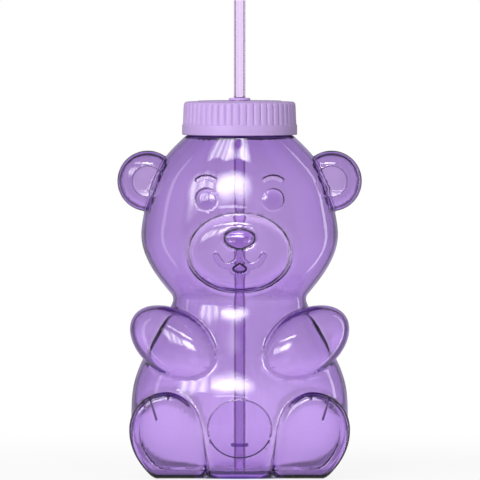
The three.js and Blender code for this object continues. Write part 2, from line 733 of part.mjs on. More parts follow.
// The soft collar in the lid's hole: a flange above, a flange below and a throat that grips the straw.
function strawGrommet() {
  const bore = strawRadius + FIT_GAP;
  const throat = LID_HOLE_RADIUS - FIT_GAP;
  const flange = LID_HOLE_RADIUS + GROMMET_FLANGE;
  const upper = panelTop + SEAT_GAP;
  const lower = plateUnderside - SEAT_GAP;
  const top = upper + GROMMET_TOP_THICKNESS;
  return ring(
    [
      [bore, lower - GROMMET_UNDER_THICKNESS],
      [flange, lower - GROMMET_UNDER_THICKNESS],
      [flange, lower],
      [throat, lower],
      [throat, upper],
      [flange, upper],
      [flange, top - GROMMET_EDGE],
      [flange - GROMMET_EDGE, top],
      [bore, top],
    ],
    STRAW_FACETS,
  );
}

// The straw: an open tube.
function straw() {
  const bore = strawRadius - STRAW_WALL;
  const top = lidTop + STRAW_ABOVE_LID;
  return ring(
    [
      [bore, strawBottom],
      [strawRadius, strawBottom],
      [strawRadius, top],
      [bore, top],
    ],
    STRAW_FACETS,
  );
}

// The ring that stops the straw from being pulled out through the lid, with rounded outer edges.
function strawStopRing() {
  const bore = strawRadius + FIT_GAP;
  const outer = STOP_RING_DIAMETER / 2;
  const bottom = strawBottom + STOP_RING_HEIGHT - STOP_RING_THICKNESS / 2;
  const top = bottom + STOP_RING_THICKNESS;
  return ring(
    [
      [bore, bottom],
      [outer - STOP_RING_EDGE, bottom],
      [outer, bottom + STOP_RING_EDGE],
      [outer, top - STOP_RING_EDGE],
      [outer - STOP_RING_EDGE, top],
      [bore, top],
    ],
    STRAW_FACETS,
  );
}

const bottle = new THREE.Group();
bottle.add(
  piece("bottle", bottleBody(), 0xab8fd8, 0.08, 0.45),
  piece("lid", lid(), 0xcdb2ee, 0.35),
  piece("lid_gasket", lidGasket(), 0xe9e3f2, 0.6),
  piece("straw_grommet", strawGrommet(), 0xd9b8e6, 0.5),
  piece("straw", straw(), 0xe6d6f4, 0.15, 0.6),
  piece("straw_stop_ring", strawStopRing(), 0xb79ad6, 0.3),
);

export default bottle;
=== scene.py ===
"""A bear-shaped drinking bottle of clear violet plastic, with a ribbed screw lid and a straw."""
import math

import bmesh
import bpy
import numpy as np
from mathutils import Matrix, Vector
from mathutils.geometry import interpolate_bezier


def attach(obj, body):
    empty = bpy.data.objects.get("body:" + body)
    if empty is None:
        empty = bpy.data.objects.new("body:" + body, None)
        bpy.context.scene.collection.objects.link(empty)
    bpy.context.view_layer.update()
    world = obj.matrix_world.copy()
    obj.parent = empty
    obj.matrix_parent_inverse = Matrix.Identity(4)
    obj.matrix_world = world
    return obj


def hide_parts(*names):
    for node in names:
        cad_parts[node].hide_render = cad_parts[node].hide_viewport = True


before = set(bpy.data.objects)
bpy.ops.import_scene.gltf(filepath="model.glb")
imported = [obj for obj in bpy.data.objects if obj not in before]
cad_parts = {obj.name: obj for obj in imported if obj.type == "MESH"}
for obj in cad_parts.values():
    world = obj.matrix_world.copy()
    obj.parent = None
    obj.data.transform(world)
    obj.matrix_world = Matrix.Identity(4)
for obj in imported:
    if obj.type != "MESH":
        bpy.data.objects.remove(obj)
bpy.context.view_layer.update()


# Bottle body: one hollow shell of clear violet plastic, blown in a mould in the shape of a sitting bear.
# Rough lobes are fused and drawn onto the smooth moulded form, and the relief is pressed into it. The hollow,
# formed the same way two millimetres further in, is cut out.
MM = 0.001
TINY = 1e-9
FAR = 99.0
# Lengths are in millimetres until an object is made. Each station gives a height, half a width, and the
# depths in front of and behind the axis.
TORSO_STATIONS = (
    (0, 42.5, 38, 41.6),
    (9, 51.0, 42.4, 45.6),
    (34, 57.4, 45.5, 47.6),
    (49, 56.0, 43.5, 46.5),
    (62, 51.2, 38.7, 43.7),
    (79, 41.8, 32.0, 37.0),
    (88.5, 37.0, 28.8, 33.6),
    (95.3, 34.2, 27.8, 31.5),
)
HEAD_STATIONS = (
    (95.3, 35.2, 27.8, 31.5),
    (105.9, 43.6, 36, 37),
    (127, 52.1, 41.5, 43.5),
    (138.3, 50.9, 41.2, 43.5),
    (150.8, 48.4, 39.5, 42),
    (162.5, 43.8, 36.5, 38),
    (173.6, 35.4, 32, 32.5),
    (179.3, 29.6, 29.6, 29.6),
)
WAIST_ROUNDING = 2.6
SHOULDER_EDGE = (27.4, 180.8)
SHOULDER_SLOPE = 2.2
SHOULDER_ROUNDING = 1.0
WALL = 2.0
CREASE_WIDTH = 2.5
INNER_ROUNDING = 0.3
FLOOR_TOP = 2.4
BASE_ROUNDING = 3.0
PUSH_UP_RADIUS = 26.0
PUSH_UP_DEPTH = 0.6
PUSH_UP_EDGE = 3
BASE_TOLERANCE = 0.05
BODY_TOP = 182.2
NECK_RADIUS = 26.4
NECK_ROOT = 170
NECK_TOP = 194.5
NECK_STEPS = 160
LIP_ROUNDING = 0.6
LIP_BEVEL = 0.2
BORE_RADIUS = 24.2
BORE_ROOT = 172
BORE_TOP = 196.5


def smooth_line(heights, values):
    """A line without kinks through values at given heights, which runs on straight beyond its ends."""
    heights = np.asarray(heights, float)
    values = np.asarray(values, float)
    step = np.diff(heights)
    slope = np.diff(values) / step
    size = len(heights)
    matrix = np.eye(size)
    wanted = np.zeros(size)
    for i in range(1, size - 1):
        matrix[i, i - 1:i + 2] = step[i - 1], 2 * (step[i - 1] + step[i]), step[i]
        wanted[i] = 6 * (slope[i] - slope[i - 1])
    bend = np.linalg.solve(matrix, wanted)

    def line(height):
        i = np.clip(np.searchsorted(heights, height) - 1, 0, size - 2)
        along = np.clip(height, heights[0], heights[-1]) - heights[i]
        start_slope = slope[i] - step[i] * (2 * bend[i] + bend[i + 1]) / 6
        change = (bend[i + 1] - bend[i]) / step[i]
        inside = values[i] + start_slope * along + bend[i] * along ** 2 / 2 + change * along ** 3 / 6
        below = np.minimum(height - heights[0], 0) * (slope[0] - step[0] * bend[1] / 6)
        above = np.maximum(height - heights[-1], 0) * (slope[-1] + step[-1] * bend[-2] / 6)
        return inside + below + above

    return line


def soft_max(first, second, rounding):
    """The larger of two values, with the change from one to the other rounded."""
    near = np.maximum(rounding - np.abs(first - second), 0) / rounding
    return np.maximum(first, second) + near ** 2 * rounding / 4


def soft_min(first, second, rounding):
    """The smaller of two values, with the change rounded."""
    return -soft_max(-first, -second, rounding)


TABLE_HEIGHTS = np.arange(-10, 215, 0.02)


def trunk_line(column):
    """A size of the trunk by height: a run for the torso and one for the head, which meet in the waist."""
    runs = []
    for stations in (TORSO_STATIONS, HEAD_STATIONS):
        run = smooth_line([station[0] for station in stations], [station[column] for station in stations])
        runs.append(run(TABLE_HEIGHTS))
    shoulder = SHOULDER_EDGE[0] + (SHOULDER_EDGE[1] - TABLE_HEIGHTS) * SHOULDER_SLOPE
    table = soft_min(soft_max(*runs, WAIST_ROUNDING), shoulder, SHOULDER_ROUNDING)
    return lambda height: np.interp(height, TABLE_HEIGHTS, table)


half_width_at = trunk_line(1)
front_at = trunk_line(2)
back_at = trunk_line(3)
FLARE_STEP = 0.2


def trunk_distance(points):
    """How far points lie outside the trunk, which is oval at every height."""
    x, y, z = points.T
    half_width = half_width_at(z)
    depth = np.where(y < 0, front_at(z), back_at(z))
    share = np.sqrt((x / half_width) ** 2 + (y / depth) ** 2) + TINY
    steepness = np.sqrt((x / half_width ** 2) ** 2 + (y / depth ** 2) ** 2) / share + TINY
    flare = (half_width_at(z + FLARE_STEP) - half_width_at(z - FLARE_STEP)) / (2 * FLARE_STEP)
    return (share - 1) / steepness / np.sqrt(1 + flare ** 2)


def lobe_distance(points, centre, halves, turn=Matrix.Identity(3), fullness=2):
    """How far points lie outside a lobe with an oval outline, which is an ellipsoid or has a fuller front."""
    halves = np.array(halves)
    local = np.abs((points - np.array(centre)) @ np.array(turn)) / halves + TINY
    across = np.hypot(local[:, 0], local[:, 2])
    share = (across ** fullness + local[:, 1] ** fullness) ** (1 / fullness)
    sideways = (across / share) ** (fullness - 1)
    sideways = sideways * np.hypot(local[:, 0] / halves[0], local[:, 2] / halves[2]) / across
    forward = (local[:, 1] / share) ** (fullness - 1) / halves[1]
    return (share - 1) / np.hypot(sideways, forward)


def bezier_outline(corners, steps):
    """A closed flat outline from cubic curves, each given as its start and its two handles."""
    outline = []
    for i, (start, leave, arrive) in enumerate(corners):
        end = corners[(i + 1) % len(corners)][0]
        curve = interpolate_bezier(*[Vector((*p, 0)) for p in (start, leave, arrive, end)], steps)
        outline += [(point.x, point.y) for point in curve[:-1]]
    return np.array(outline)


def line_distance(x, z, line):
    """How far points of the front view lie from an open line."""
    nearest = np.full(x.shape, np.inf)
    for (x0, z0), (x1, z1) in zip(line[:-1], line[1:]):
        along = ((x - x0) * (x1 - x0) + (z - z0) * (z1 - z0)) / ((x1 - x0) ** 2 + (z1 - z0) ** 2)
        along = np.clip(along, 0, 1)
        nearest = np.minimum(nearest, np.hypot(x - x0 - along * (x1 - x0), z - z0 - along * (z1 - z0)))
    return nearest


def outline_distance(x, z, outline):
    """How far points of the front view lie outside a closed outline."""
    inside = np.zeros(x.shape, bool)
    for (x0, z0), (x1, z1) in zip(outline, np.roll(outline, -1, axis=0)):
        if z0 != z1:
            inside ^= ((z0 > z) != (z1 > z)) & (x < x0 + (z - z0) / (z1 - z0) * (x1 - x0))
    nearest = line_distance(x, z, np.vstack((outline, outline[:1])))
    return np.where(inside, -nearest, nearest)


MUZZLE_CENTRE = (0, -32.4, 119.8)
MUZZLE_HALVES = (27.3, 13.0, 21.3)
MUZZLE_TILT = Matrix.Rotation(math.radians(8), 3, "X")
MUZZLE_FULLNESS = 2.6
MUZZLE_ROUNDING = 0.7
MUZZLE_THINNING = 0.5
ARM_CENTRE = (34.4, -23.0, 71.0)
ARM_HALVES = (28.2, 15.0, 17.0)
ARM_TILT = math.radians(28)
ARM_TURN = math.radians(36)
ARM_PLACE = Matrix.Rotation(ARM_TURN, 3, "Z") @ Matrix.Rotation(-ARM_TILT, 3, "Y")
ARM_FULLNESS = 2.3
ARM_ROUNDING = 1.2
ARM_THINNING = (0.0, 0.65)
ARM_THINNING_DEPTHS = (-22, -10)
EAR_CENTRE = (48.7, 1.0, 156.3)
EAR_HALVES = (16.1, 9.5, 16.1)
EAR_DISH_DEPTH = 2.2
EAR_DISH_BALL = 38.8
EAR_DISH_RADIUS = 8.2
EAR_DISH_ROUNDING = 0.3
EARS_START = 130
EAR_ROUNDING = 0.8
FOOT_OUTLINE = bezier_outline(
    [
        ((19.9, 0), (28, 0), (36, 0)),
        ((44.5, 0), (53.9, 8.1), (58.6, 17)),
        ((58.6, 27), (58.6, 38.2), (50.1, 47.4)),
        ((38.1, 47.4), (30.1, 47.4), (22.2, 38.2)),
        ((19.9, 27), (19.1, 20), (18.4, 13)),
        ((17.6, 6), (17.8, 3), (18.6, 0.6)),
    ],
    steps=14,
)
FOOT_MIDDLE = 38.1
FOOT_MIDDLE_HEIGHT = 24
FOOT_HALF_WIDTH = 20
FOOT_FRONT = 48.0
FOOT_LENGTH = 40.0
FOOT_EDGE = 6.0
FOOT_INNER_FLARE = 0.25
FOOT_FLARE_DEPTH = 12
FOOT_FLARE_WIDTH = 14
FOOT_HEEL_SHRINK = 0.16
FOOT_ROUNDING = 1.2
FOOT_THINNING = 0.55
FEET_END = 60


LAST_CELL = 1.001


def outline_table(outline, margin, cell):
    """The distance from a closed outline, worked out once on a fine grid and read off between its points."""
    low = outline.min(axis=0) - margin
    size = np.ceil((np.ptp(outline, axis=0) + 2 * margin) / cell).astype(int)
    columns = low[0] + cell * np.arange(size[0])
    rows = low[1] + cell * np.arange(size[1])
    across, upright = np.meshgrid(columns, rows, indexing="ij")
    table = outline_distance(across.ravel(), upright.ravel(), outline).reshape(across.shape)

    def read(x, z):
        u = np.clip((x - low[0]) / cell, 0, size[0] - LAST_CELL)
        v = np.clip((z - low[1]) / cell, 0, size[1] - LAST_CELL)
        i = u.astype(int)
        j = v.astype(int)
        u = u - i
        v = v - j
        left = table[i, j] * (1 - v) + table[i, j + 1] * v
        right = table[i + 1, j] * (1 - v) + table[i + 1, j + 1] * v
        return left * (1 - u) + right * u

    return read


foot_outline_distance = outline_table(FOOT_OUTLINE, margin=12, cell=0.25)


def foot_distance(points):
    """How far points lie outside a foot: its outline pushed back into the hip, with round front edges."""
    x, y, z = points.T
    shrink = 1 - FOOT_HEEL_SHRINK * np.clip((y + FOOT_FRONT) / FOOT_LENGTH, 0, 1)
    flare = FOOT_INNER_FLARE * np.clip(y + FOOT_FRONT, 0, FOOT_FLARE_DEPTH)
    flare = flare * np.clip((FOOT_MIDDLE - x) / FOOT_FLARE_WIDTH, 0, 1)
    sideways = foot_outline_distance(FOOT_MIDDLE + (x + flare - FOOT_MIDDLE) / shrink, z / shrink)
    forward = np.abs(y + FOOT_FRONT - FOOT_LENGTH / 2) - FOOT_LENGTH / 2
    sideways = sideways + FOOT_EDGE
    forward = forward + FOOT_EDGE
    outside = np.hypot(np.maximum(sideways, 0), np.maximum(forward, 0))
    return outside + np.minimum(np.maximum(sideways, forward), 0) - FOOT_EDGE


def ear_distance(points):
    """How far points lie outside an ear: a flat round lobe with a shallow dish in its front."""
    lobe = lobe_distance(points, EAR_CENTRE, EAR_HALVES)
    dish_front = EAR_CENTRE[1] - EAR_HALVES[1] + EAR_DISH_DEPTH - EAR_DISH_BALL
    dish = np.linalg.norm(points - np.array((EAR_CENTRE[0], dish_front, EAR_CENTRE[2])), axis=1)
    return soft_max(lobe, EAR_DISH_BALL - dish, EAR_DISH_ROUNDING)


def beyond(points, chosen, distance_of):
    """A lobe's distance, worked out only for the chosen points and large for the rest."""
    distance = np.full(len(points), FAR)
    distance[chosen] = distance_of(points[chosen])
    return distance


def lobes(points):
    """How far points lie from each lobe, how softly it meets the trunk and how much the wall thins there."""
    y, z = points[:, 1:].T
    arm_thinning = np.interp(y, ARM_THINNING_DEPTHS, ARM_THINNING)
    muzzle = lobe_distance(points, MUZZLE_CENTRE, MUZZLE_HALVES, MUZZLE_TILT, MUZZLE_FULLNESS)
    arm = lobe_distance(points, ARM_CENTRE, ARM_HALVES, ARM_PLACE, ARM_FULLNESS)
    foot = beyond(points, z < FEET_END, foot_distance)
    ear = beyond(points, z > EARS_START, ear_distance)
    return (
        (muzzle, MUZZLE_ROUNDING, MUZZLE_THINNING),
        (arm, ARM_ROUNDING, arm_thinning),
        (foot, FOOT_ROUNDING, FOOT_THINNING),
        (ear, EAR_ROUNDING, 0),
    )


def one_side(points):
    """Points mirrored to the bear's left side, because both sides are the same."""
    return np.column_stack((np.abs(points[:, 0]), points[:, 1:]))


def skin_distance(points, inset):
    """How far points lie outside the moulded skin, drawn in by an inset which is less along the creases."""
    points = one_side(points)
    skin = trunk_distance(points)
    thinned = np.zeros(len(points))
    for lobe, rounding, thinning in lobes(points):
        thinned = np.maximum(thinned, thinning * np.exp(-((skin - lobe) / CREASE_WIDTH) ** 2))
        skin = soft_min(skin, lobe, rounding + inset * INNER_ROUNDING)
    floor = FLOOR_TOP if inset else 0
    skin = skin + inset * (1 - thinned)
    skin = soft_max(skin, floor - points[:, 2], BASE_ROUNDING)
    return np.maximum(skin, points[:, 2] - BODY_TOP)


def crease_distance(points):
    """How far points of the skin lie from the creases round the lobes and from the rims in the ears."""
    points = one_side(points)
    skin = trunk_distance(points)
    rim = ear_edge(points[:, 0], points[:, 2])
    crease = np.where(points[:, 1] < EAR_CENTRE[1], np.abs(rim), FAR)
    for lobe, rounding, _ in lobes(points):
        crease = np.minimum(crease, np.abs(skin - lobe))
        skin = soft_min(skin, lobe, rounding)
    return crease


def places(bm):
    return np.array([vert.co for vert in bm.verts])


def put(bm, points):
    for vert, point in zip(bm.verts, points):
        vert.co = point


NUDGE = 0.04
LEAST_STEEPNESS = 0.3
LONGEST_STEP = 1.2


def slopes(points, inset, value):
    """How the distance from the skin grows along each axis."""
    nudges = np.eye(3) * NUDGE
    return np.column_stack([(skin_distance(points + nudge, inset) - value) / NUDGE for nudge in nudges])


def settle(bm, inset, rounds):
    """Draws every point of a mesh onto the skin, by the shortest way."""
    points = places(bm)
    for _ in range(rounds):
        value = skin_distance(points, inset)
        slope = slopes(points, inset, value)
        size = np.maximum(np.sum(slope ** 2, axis=1), LEAST_STEEPNESS)
        step = np.clip(value / size, -LONGEST_STEP, LONGEST_STEP)
        points = points - slope * step[:, None]
    put(bm, points)


def spun(profile, steps):
    """A profile of radius and height, spun once round the Z axis."""
    bm = bmesh.new()
    line = [bm.verts.new((radius, 0, height)) for radius, height in profile]
    edges = [bm.edges.new(pair) for pair in zip(line[:-1], line[1:])]
    bmesh.ops.spin(bm, geom=line + edges, cent=(0, 0, 0), axis=(0, 0, 1), angle=2 * math.pi,
                   steps=steps, use_merge=True)
    bmesh.ops.remove_doubles(bm, verts=bm.verts, dist=0.001)
    bmesh.ops.recalc_face_normals(bm, faces=bm.faces)
    return bm


def scene_object(name, data):
    made = bpy.data.objects.new(name, data)
    bpy.context.scene.collection.objects.link(made)
    return made


def mesh_object(bm, name):
    mesh = bpy.data.meshes.new(name)
    bm.to_mesh(mesh)
    bm.free()
    return scene_object(name, mesh)


def new_object(bm, name):
    """Makes a smooth-shaded object in metres from a mesh in millimetres."""
    bmesh.ops.scale(bm, vec=(MM, MM, MM), verts=bm.verts)
    made = mesh_object(bm, name)
    made.data.shade_smooth()
    return made


def applied(made):
    """The mesh of an object with its modifiers applied."""
    depsgraph = bpy.context.evaluated_depsgraph_get()
    return bpy.data.meshes.new_from_object(made.evaluated_get(depsgraph))


def rough_lobe(bm, centre, halves, turn=Matrix.Identity(3)):
    place = Matrix.Translation(centre) @ turn.to_4x4() @ Matrix.Diagonal((*halves, 1))
    bmesh.ops.create_uvsphere(bm, u_segments=32, v_segments=16, radius=1, matrix=place)


def rough_foot(bm, side, inset):
    """A foot as a block with the foot's outline."""
    size = 1 - inset / FOOT_HALF_WIDTH
    middle = np.array((FOOT_MIDDLE, FOOT_MIDDLE_HEIGHT))
    outline = (middle + (FOOT_OUTLINE - middle) * size) * (side, 1)
    depths = (inset - FOOT_FRONT, FOOT_LENGTH - FOOT_FRONT - inset)
    front, back = [[bm.verts.new((x, depth, z)) for x, z in outline] for depth in depths]
    bm.faces.new(front)
    bm.faces.new(back)
    for i in range(len(outline)):
        bm.faces.new((front[i - 1], front[i], back[i], back[i - 1]))


ROUGH_ROWS = 60
ROUGH_COLUMNS = 64


def rough_form(inset):
    """The trunk and its lobes as overlapping rough shapes, drawn in by an inset."""
    floor = FLOOR_TOP if inset else 0
    heights = np.linspace(floor, BODY_TOP, ROUGH_ROWS)
    profile = [(half_width_at(height) - inset, height) for height in heights]
    bm = spun([(0, heights[0])] + profile + [(0, heights[-1])], ROUGH_COLUMNS)
    for vert in bm.verts:
        depth = front_at(vert.co.z) if vert.co.y < 0 else back_at(vert.co.z)
        vert.co.y *= (depth - inset) / (half_width_at(vert.co.z) - inset)
    for side in (-1, 1):
        flip = Matrix.Diagonal((side, 1, 1))
        for centre, halves, turn in ((MUZZLE_CENTRE, MUZZLE_HALVES, MUZZLE_TILT),
                                     (ARM_CENTRE, ARM_HALVES, ARM_PLACE),
                                     (EAR_CENTRE, EAR_HALVES, Matrix.Identity(3))):
            sizes = [half - inset for half in halves]
            rough_lobe(bm, flip @ Vector(centre), sizes, flip @ turn @ flip)
        rough_foot(bm, side, inset)
    bmesh.ops.recalc_face_normals(bm, faces=bm.faces)
    return bm


def fused_skin(name, inset, voxel):
    """The lobes fused into one closed skin of even small faces, drawn onto the moulded form."""
    made = new_object(rough_form(inset), name)
    fuse = made.modifiers.new("fuse", "REMESH")
    fuse.mode = "VOXEL"
    fuse.voxel_size = voxel * MM
    bm = bmesh.new()
    bm.from_mesh(applied(made))
    bpy.data.objects.remove(made)
    bmesh.ops.scale(bm, vec=(1 / MM, 1 / MM, 1 / MM), verts=bm.verts)
    settle(bm, inset, rounds=8)
    bmesh.ops.smooth_vert(bm, verts=bm.verts, factor=0.5, use_axis_x=True, use_axis_y=True, use_axis_z=True)
    settle(bm, inset, rounds=3)
    return bm


NOSE_OUTLINE = bezier_outline(
    [
        ((0, 130.7), (-3.4, 130.7), (-6.9, 129.2)),
        ((-6.9, 127), (-6.9, 125.3), (-2.8, 122.7)),
        ((0, 122.7), (2.8, 122.7), (6.9, 125.3)),
        ((6.9, 127), (6.9, 129.2), (3.4, 130.7)),
    ],
    steps=10,
)
NOSE_RELIEF = 0.4
NOSE_DOME = 0.9
NOSE_DOME_REACH = 4.0
NOSE_RING_HALF_WIDTH = 0.55
NOSE_RING_DEPTH = 1.0
NOSTRIL = (3.9, 126.4)
NOSTRIL_RADIUS = 1.2
NOSTRIL_STRETCH = 1.4
NOSTRIL_DEPTH = 0.8
MOUTH_LINE = ((0, 122), (0.2, 118), (0.9, 115.2), (3.0, 113.2), (6.2, 112.5), (9.2, 113.4), (11.2, 115.4),
              (12.1, 117.2), (12.5, 118.6))
MOUTH_HALF_STROKE = 1.5
MOUTH_RELIEF = 0.5
LIP_WIDTH = 2.0
TONGUE_OUTLINE = bezier_outline(
    [
        ((0, 114.0), (-1.6, 112.8), (-4.0, 112.0)),
        ((-3.2, 110.6), (-2.2, 108.9), (2.2, 108.9)),
        ((3.2, 110.6), (4.0, 112.0), (1.6, 112.8)),
    ],
    steps=8,
)
TONGUE_RING_HALF_WIDTH = 0.4
TONGUE_RING_DEPTH = 1.1
EYE_CENTRE = (17.6, 147.4)
EYE_RADIUS = 5.3
EYE_RELIEF = 0.9
EYE_RING_HALF_WIDTH = 0.35
EYE_RING_DEPTH = 0.2
BROW_LINE = ((13.1, 157.7), (15.3, 158.8), (17.7, 159.2), (20.1, 158.8), (22.3, 157.7))
BROW_HALF_STROKE = 1.15
BROW_DEPTH = 1.2
MUZZLE_RING = (26.6, 20.7)
MUZZLE_RING_HALF_WIDTH = 0.3
MUZZLE_RING_DEPTH = 0.6
EAR_RING_DEPTH = 0.6
BELLY_CENTRE = (0, 27)
BELLY_HALVES = (16.8, 15.3)
BELLY_RELIEF = 0.4
TOE_GROOVES = (((37.4, 45.4), (37.5, 42.4)), ((47.0, 43.0), (43.6, 31.9)), ((50.4, 40.8), (49.6, 38.4)))
TOE_HALF_WIDTH = 0.3
FINGER_GROOVES = (((12.7, 69.8), (13.2, 67.2), (12.8, 64.8)), ((17.2, 58.6), (18.4, 58.8)))
FINGER_HALF_WIDTH = 0.2
GROOVE_DEPTH = 0.8
EDGE_WIDTH = 0.4
NOSE_EDGE_WIDTH = 2 * EDGE_WIDTH
NOSTRIL_EDGE_WIDTH = 1.4 * EDGE_WIDTH
GROOVE_EDGE_WIDTH = 1.5 * EDGE_WIDTH


def nose_edge(x, z):
    return outline_distance(x, z, NOSE_OUTLINE)


def nose_ring(nose):
    """How far points lie from the middle of the groove round the nose, given how far they lie outside it."""
    return np.abs(nose - NOSE_EDGE_WIDTH - NOSE_RING_HALF_WIDTH)


def mouth_edge(x, z):
    mouth = line_distance(np.abs(x), z, MOUTH_LINE) - MOUTH_HALF_STROKE
    return np.minimum(mouth, tongue_edge(x, z) - LIP_WIDTH)


def tongue_edge(x, z):
    return outline_distance(x, z, TONGUE_OUTLINE)


def nostril_edge(x, z):
    return np.hypot((np.abs(x) - NOSTRIL[0]) / NOSTRIL_STRETCH, z - NOSTRIL[1]) - NOSTRIL_RADIUS


def eye_edge(x, z):
    return np.hypot(np.abs(x) - EYE_CENTRE[0], z - EYE_CENTRE[1]) - EYE_RADIUS


def brow_edge(x, z):
    return line_distance(np.abs(x), z, BROW_LINE) - BROW_HALF_STROKE


def oval_edge(x, z, centre, halves):
    share = np.hypot((x - centre[0]) / halves[0], (z - centre[1]) / halves[1])
    return (share - 1) * halves[1]


def muzzle_edge(x, z):
    return oval_edge(x, z, (0, MUZZLE_CENTRE[2]), MUZZLE_RING)


def ear_edge(x, z):
    return np.hypot(np.abs(x) - EAR_CENTRE[0], z - EAR_CENTRE[2]) - EAR_DISH_RADIUS


def belly_edge(x, z):
    return oval_edge(x, z, BELLY_CENTRE, BELLY_HALVES)


def groove_edge(x, z):
    toes = [line_distance(np.abs(x), z, groove) - TOE_HALF_WIDTH for groove in TOE_GROOVES]
    fingers = [line_distance(np.abs(x), z, groove) - FINGER_HALF_WIDTH for groove in FINGER_GROOVES]
    return np.min(toes + fingers, axis=0)


def step_up(distance, width):
    """1 inside an edge and 0 outside it, changing smoothly over a width."""
    share = np.clip(0.5 - distance / width, 0, 1)
    return share * share * (3 - 2 * share)


def relief(x, z):
    """How far the face, the belly disc and the grooves stand out from the front's skin, or sink into it."""
    nose = nose_edge(x, z)
    round_nose = nose_ring(nose) - NOSE_RING_HALF_WIDTH
    round_tongue = np.abs(tongue_edge(x, z)) - TONGUE_RING_HALF_WIDTH
    height = MOUTH_RELIEF * step_up(mouth_edge(x, z), EDGE_WIDTH)
    for ring, depth in ((round_nose, NOSE_RING_DEPTH), (round_tongue, TONGUE_RING_DEPTH)):
        inside = step_up(ring, EDGE_WIDTH)
        height = height * (1 - inside) - depth * inside
    dome = 1 - (1 - np.clip(-nose / NOSE_DOME_REACH, 0, 1)) ** 2
    in_nostril = step_up(nostril_edge(x, z), NOSTRIL_EDGE_WIDTH)
    crown = NOSE_RELIEF + NOSE_DOME * dome - NOSTRIL_DEPTH * in_nostril
    on_nose = step_up(nose - EDGE_WIDTH, NOSE_EDGE_WIDTH)
    height = height * (1 - on_nose) + crown * on_nose
    eye = eye_edge(x, z)
    height = height + EYE_RELIEF * np.sqrt(np.maximum(1 - (1 + eye / EYE_RADIUS) ** 2, 0))
    for edge, depth in (
        (np.abs(eye - EYE_RING_HALF_WIDTH) - EYE_RING_HALF_WIDTH, EYE_RING_DEPTH),
        (brow_edge(x, z), BROW_DEPTH),
        (np.abs(muzzle_edge(x, z)) - MUZZLE_RING_HALF_WIDTH, MUZZLE_RING_DEPTH),
        (ear_edge(x, z), EAR_RING_DEPTH),
        (belly_edge(x, z), -BELLY_RELIEF),
    ):
        height = height - depth * step_up(edge, EDGE_WIDTH)
    return height - GROOVE_DEPTH * step_up(groove_edge(x, z), GROOVE_EDGE_WIDTH)


MOUTH_INNER_LINE = ((1.5, 121.8), (1.9, 118.4), (2.7, 116.2), (4.5, 114.7), (6.6, 114.2), (8.4, 114.9),
                    (9.9, 116.5), (10.9, 118.4), (12.2, 119.8), (13.4, 118.9))
# The base line and the shoulder line are painted shade only, with no relief: a dark band across the base
# between the feet, and one on the shoulder just under the lid.
BASE_LINE = ((-18.5, 3.6), (18.5, 3.6))
BASE_LINE_HALF_WIDTH = 1.0
SHOULDER_LINE = 180.15
SHOULDER_LINE_HALF_WIDTH = 0.65
LINE_WIDTH = 0.35
EYE_SHADE_SIDE = (0.8, 0.6)
EYE_SHADE_START = 0.3
BELLY_SHADE_TOP = 36
BELLY_SHADE_FALL = 16


def base_edge(x, z):
    return line_distance(x, z, BASE_LINE) - BASE_LINE_HALF_WIDTH


def shoulder_edge(x, z):
    return np.abs(z - SHOULDER_LINE) - SHOULDER_LINE_HALF_WIDTH


def painted_shade(x, z):
    """How dark the painted shade is on the fine lines of the front, where groove walls turn the light away,
    and under the lid and at the base.
    """
    side = np.abs(x)
    # The eyes' painted shade is darker on their outer sides, and the belly ring's is darker on its lower
    # side.
    outwards = EYE_SHADE_SIDE[0] * (side - EYE_CENTRE[0]) + EYE_SHADE_SIDE[1] * (z - EYE_CENTRE[1])
    outer = np.clip(outwards / EYE_RADIUS + EYE_SHADE_START, 0, 1)
    lower = np.clip((BELLY_SHADE_TOP - z) / BELLY_SHADE_FALL, 0, 1)
    # Each line is given by how far points lie from it, half its width and the darkness of its painted shade.
    lines = (
        (nose_ring(nose_edge(x, z)), 0.75, 1.0),
        (np.abs(tongue_edge(x, z)), 0.55, 1.0),
        (line_distance(side, z, MOUTH_INNER_LINE), 0.3, 0.9),
        (line_distance(side, z - BROW_HALF_STROKE, BROW_LINE), 0.25, 0.75),
        (np.abs(eye_edge(x, z) - EYE_RING_HALF_WIDTH), 0.4, outer),
        (np.abs(muzzle_edge(x, z)), 0.3, 0.6),
        (np.abs(belly_edge(x, z)), 0.4, 0.7 + 0.3 * lower),
        (np.abs(ear_edge(x, z)), 0.15, 0.4),
        (groove_edge(x, z), 0, 0.9),
        (base_edge(x, z), 0, 0.95),
        (shoulder_edge(x, z), 0, 1.0),
    )
    shades = [shade * step_up(away - half_width, LINE_WIDTH) for away, half_width, shade in lines]
    return np.max(shades, axis=0)


# Painted shade in the creases over the arms and up the inner sides of the feet, and over the ears.
ARM_CREASE_HALF_WIDTH = 0.65
ARM_CREASE_SHADE = 0.9
ARM_CREASE_HEIGHTS = (66, 72)
FOOT_CREASE_HALF_WIDTH = 0.2
FOOT_CREASE_SHADE = 0.5
FOOT_CREASE_SIDES = (23.1, 27.1)
EAR_SHADE = 0.2
EAR_SHADE_EDGE = 1


def painted_crease_and_ear_shade(points):
    """How dark the painted shade is in the creases over the arms and up the inner sides of the feet, and over
    the ears."""
    points = one_side(points)
    trunk = trunk_distance(points)
    arm, foot, ear = [lobe for lobe, _, _ in lobes(points)][1:]
    upper = np.interp(points[:, 2], ARM_CREASE_HEIGHTS, (0, 1))
    inner = np.interp(points[:, 0], FOOT_CREASE_SIDES, (1, 0))
    arm_line = step_up(np.abs(trunk - arm) - ARM_CREASE_HALF_WIDTH, LINE_WIDTH)
    foot_line = step_up(np.abs(trunk - foot) - FOOT_CREASE_HALF_WIDTH, LINE_WIDTH)
    creases = np.maximum(ARM_CREASE_SHADE * upper * arm_line, FOOT_CREASE_SHADE * inner * foot_line)
    return np.maximum(creases, EAR_SHADE * step_up(ear - trunk, EAR_SHADE_EDGE))


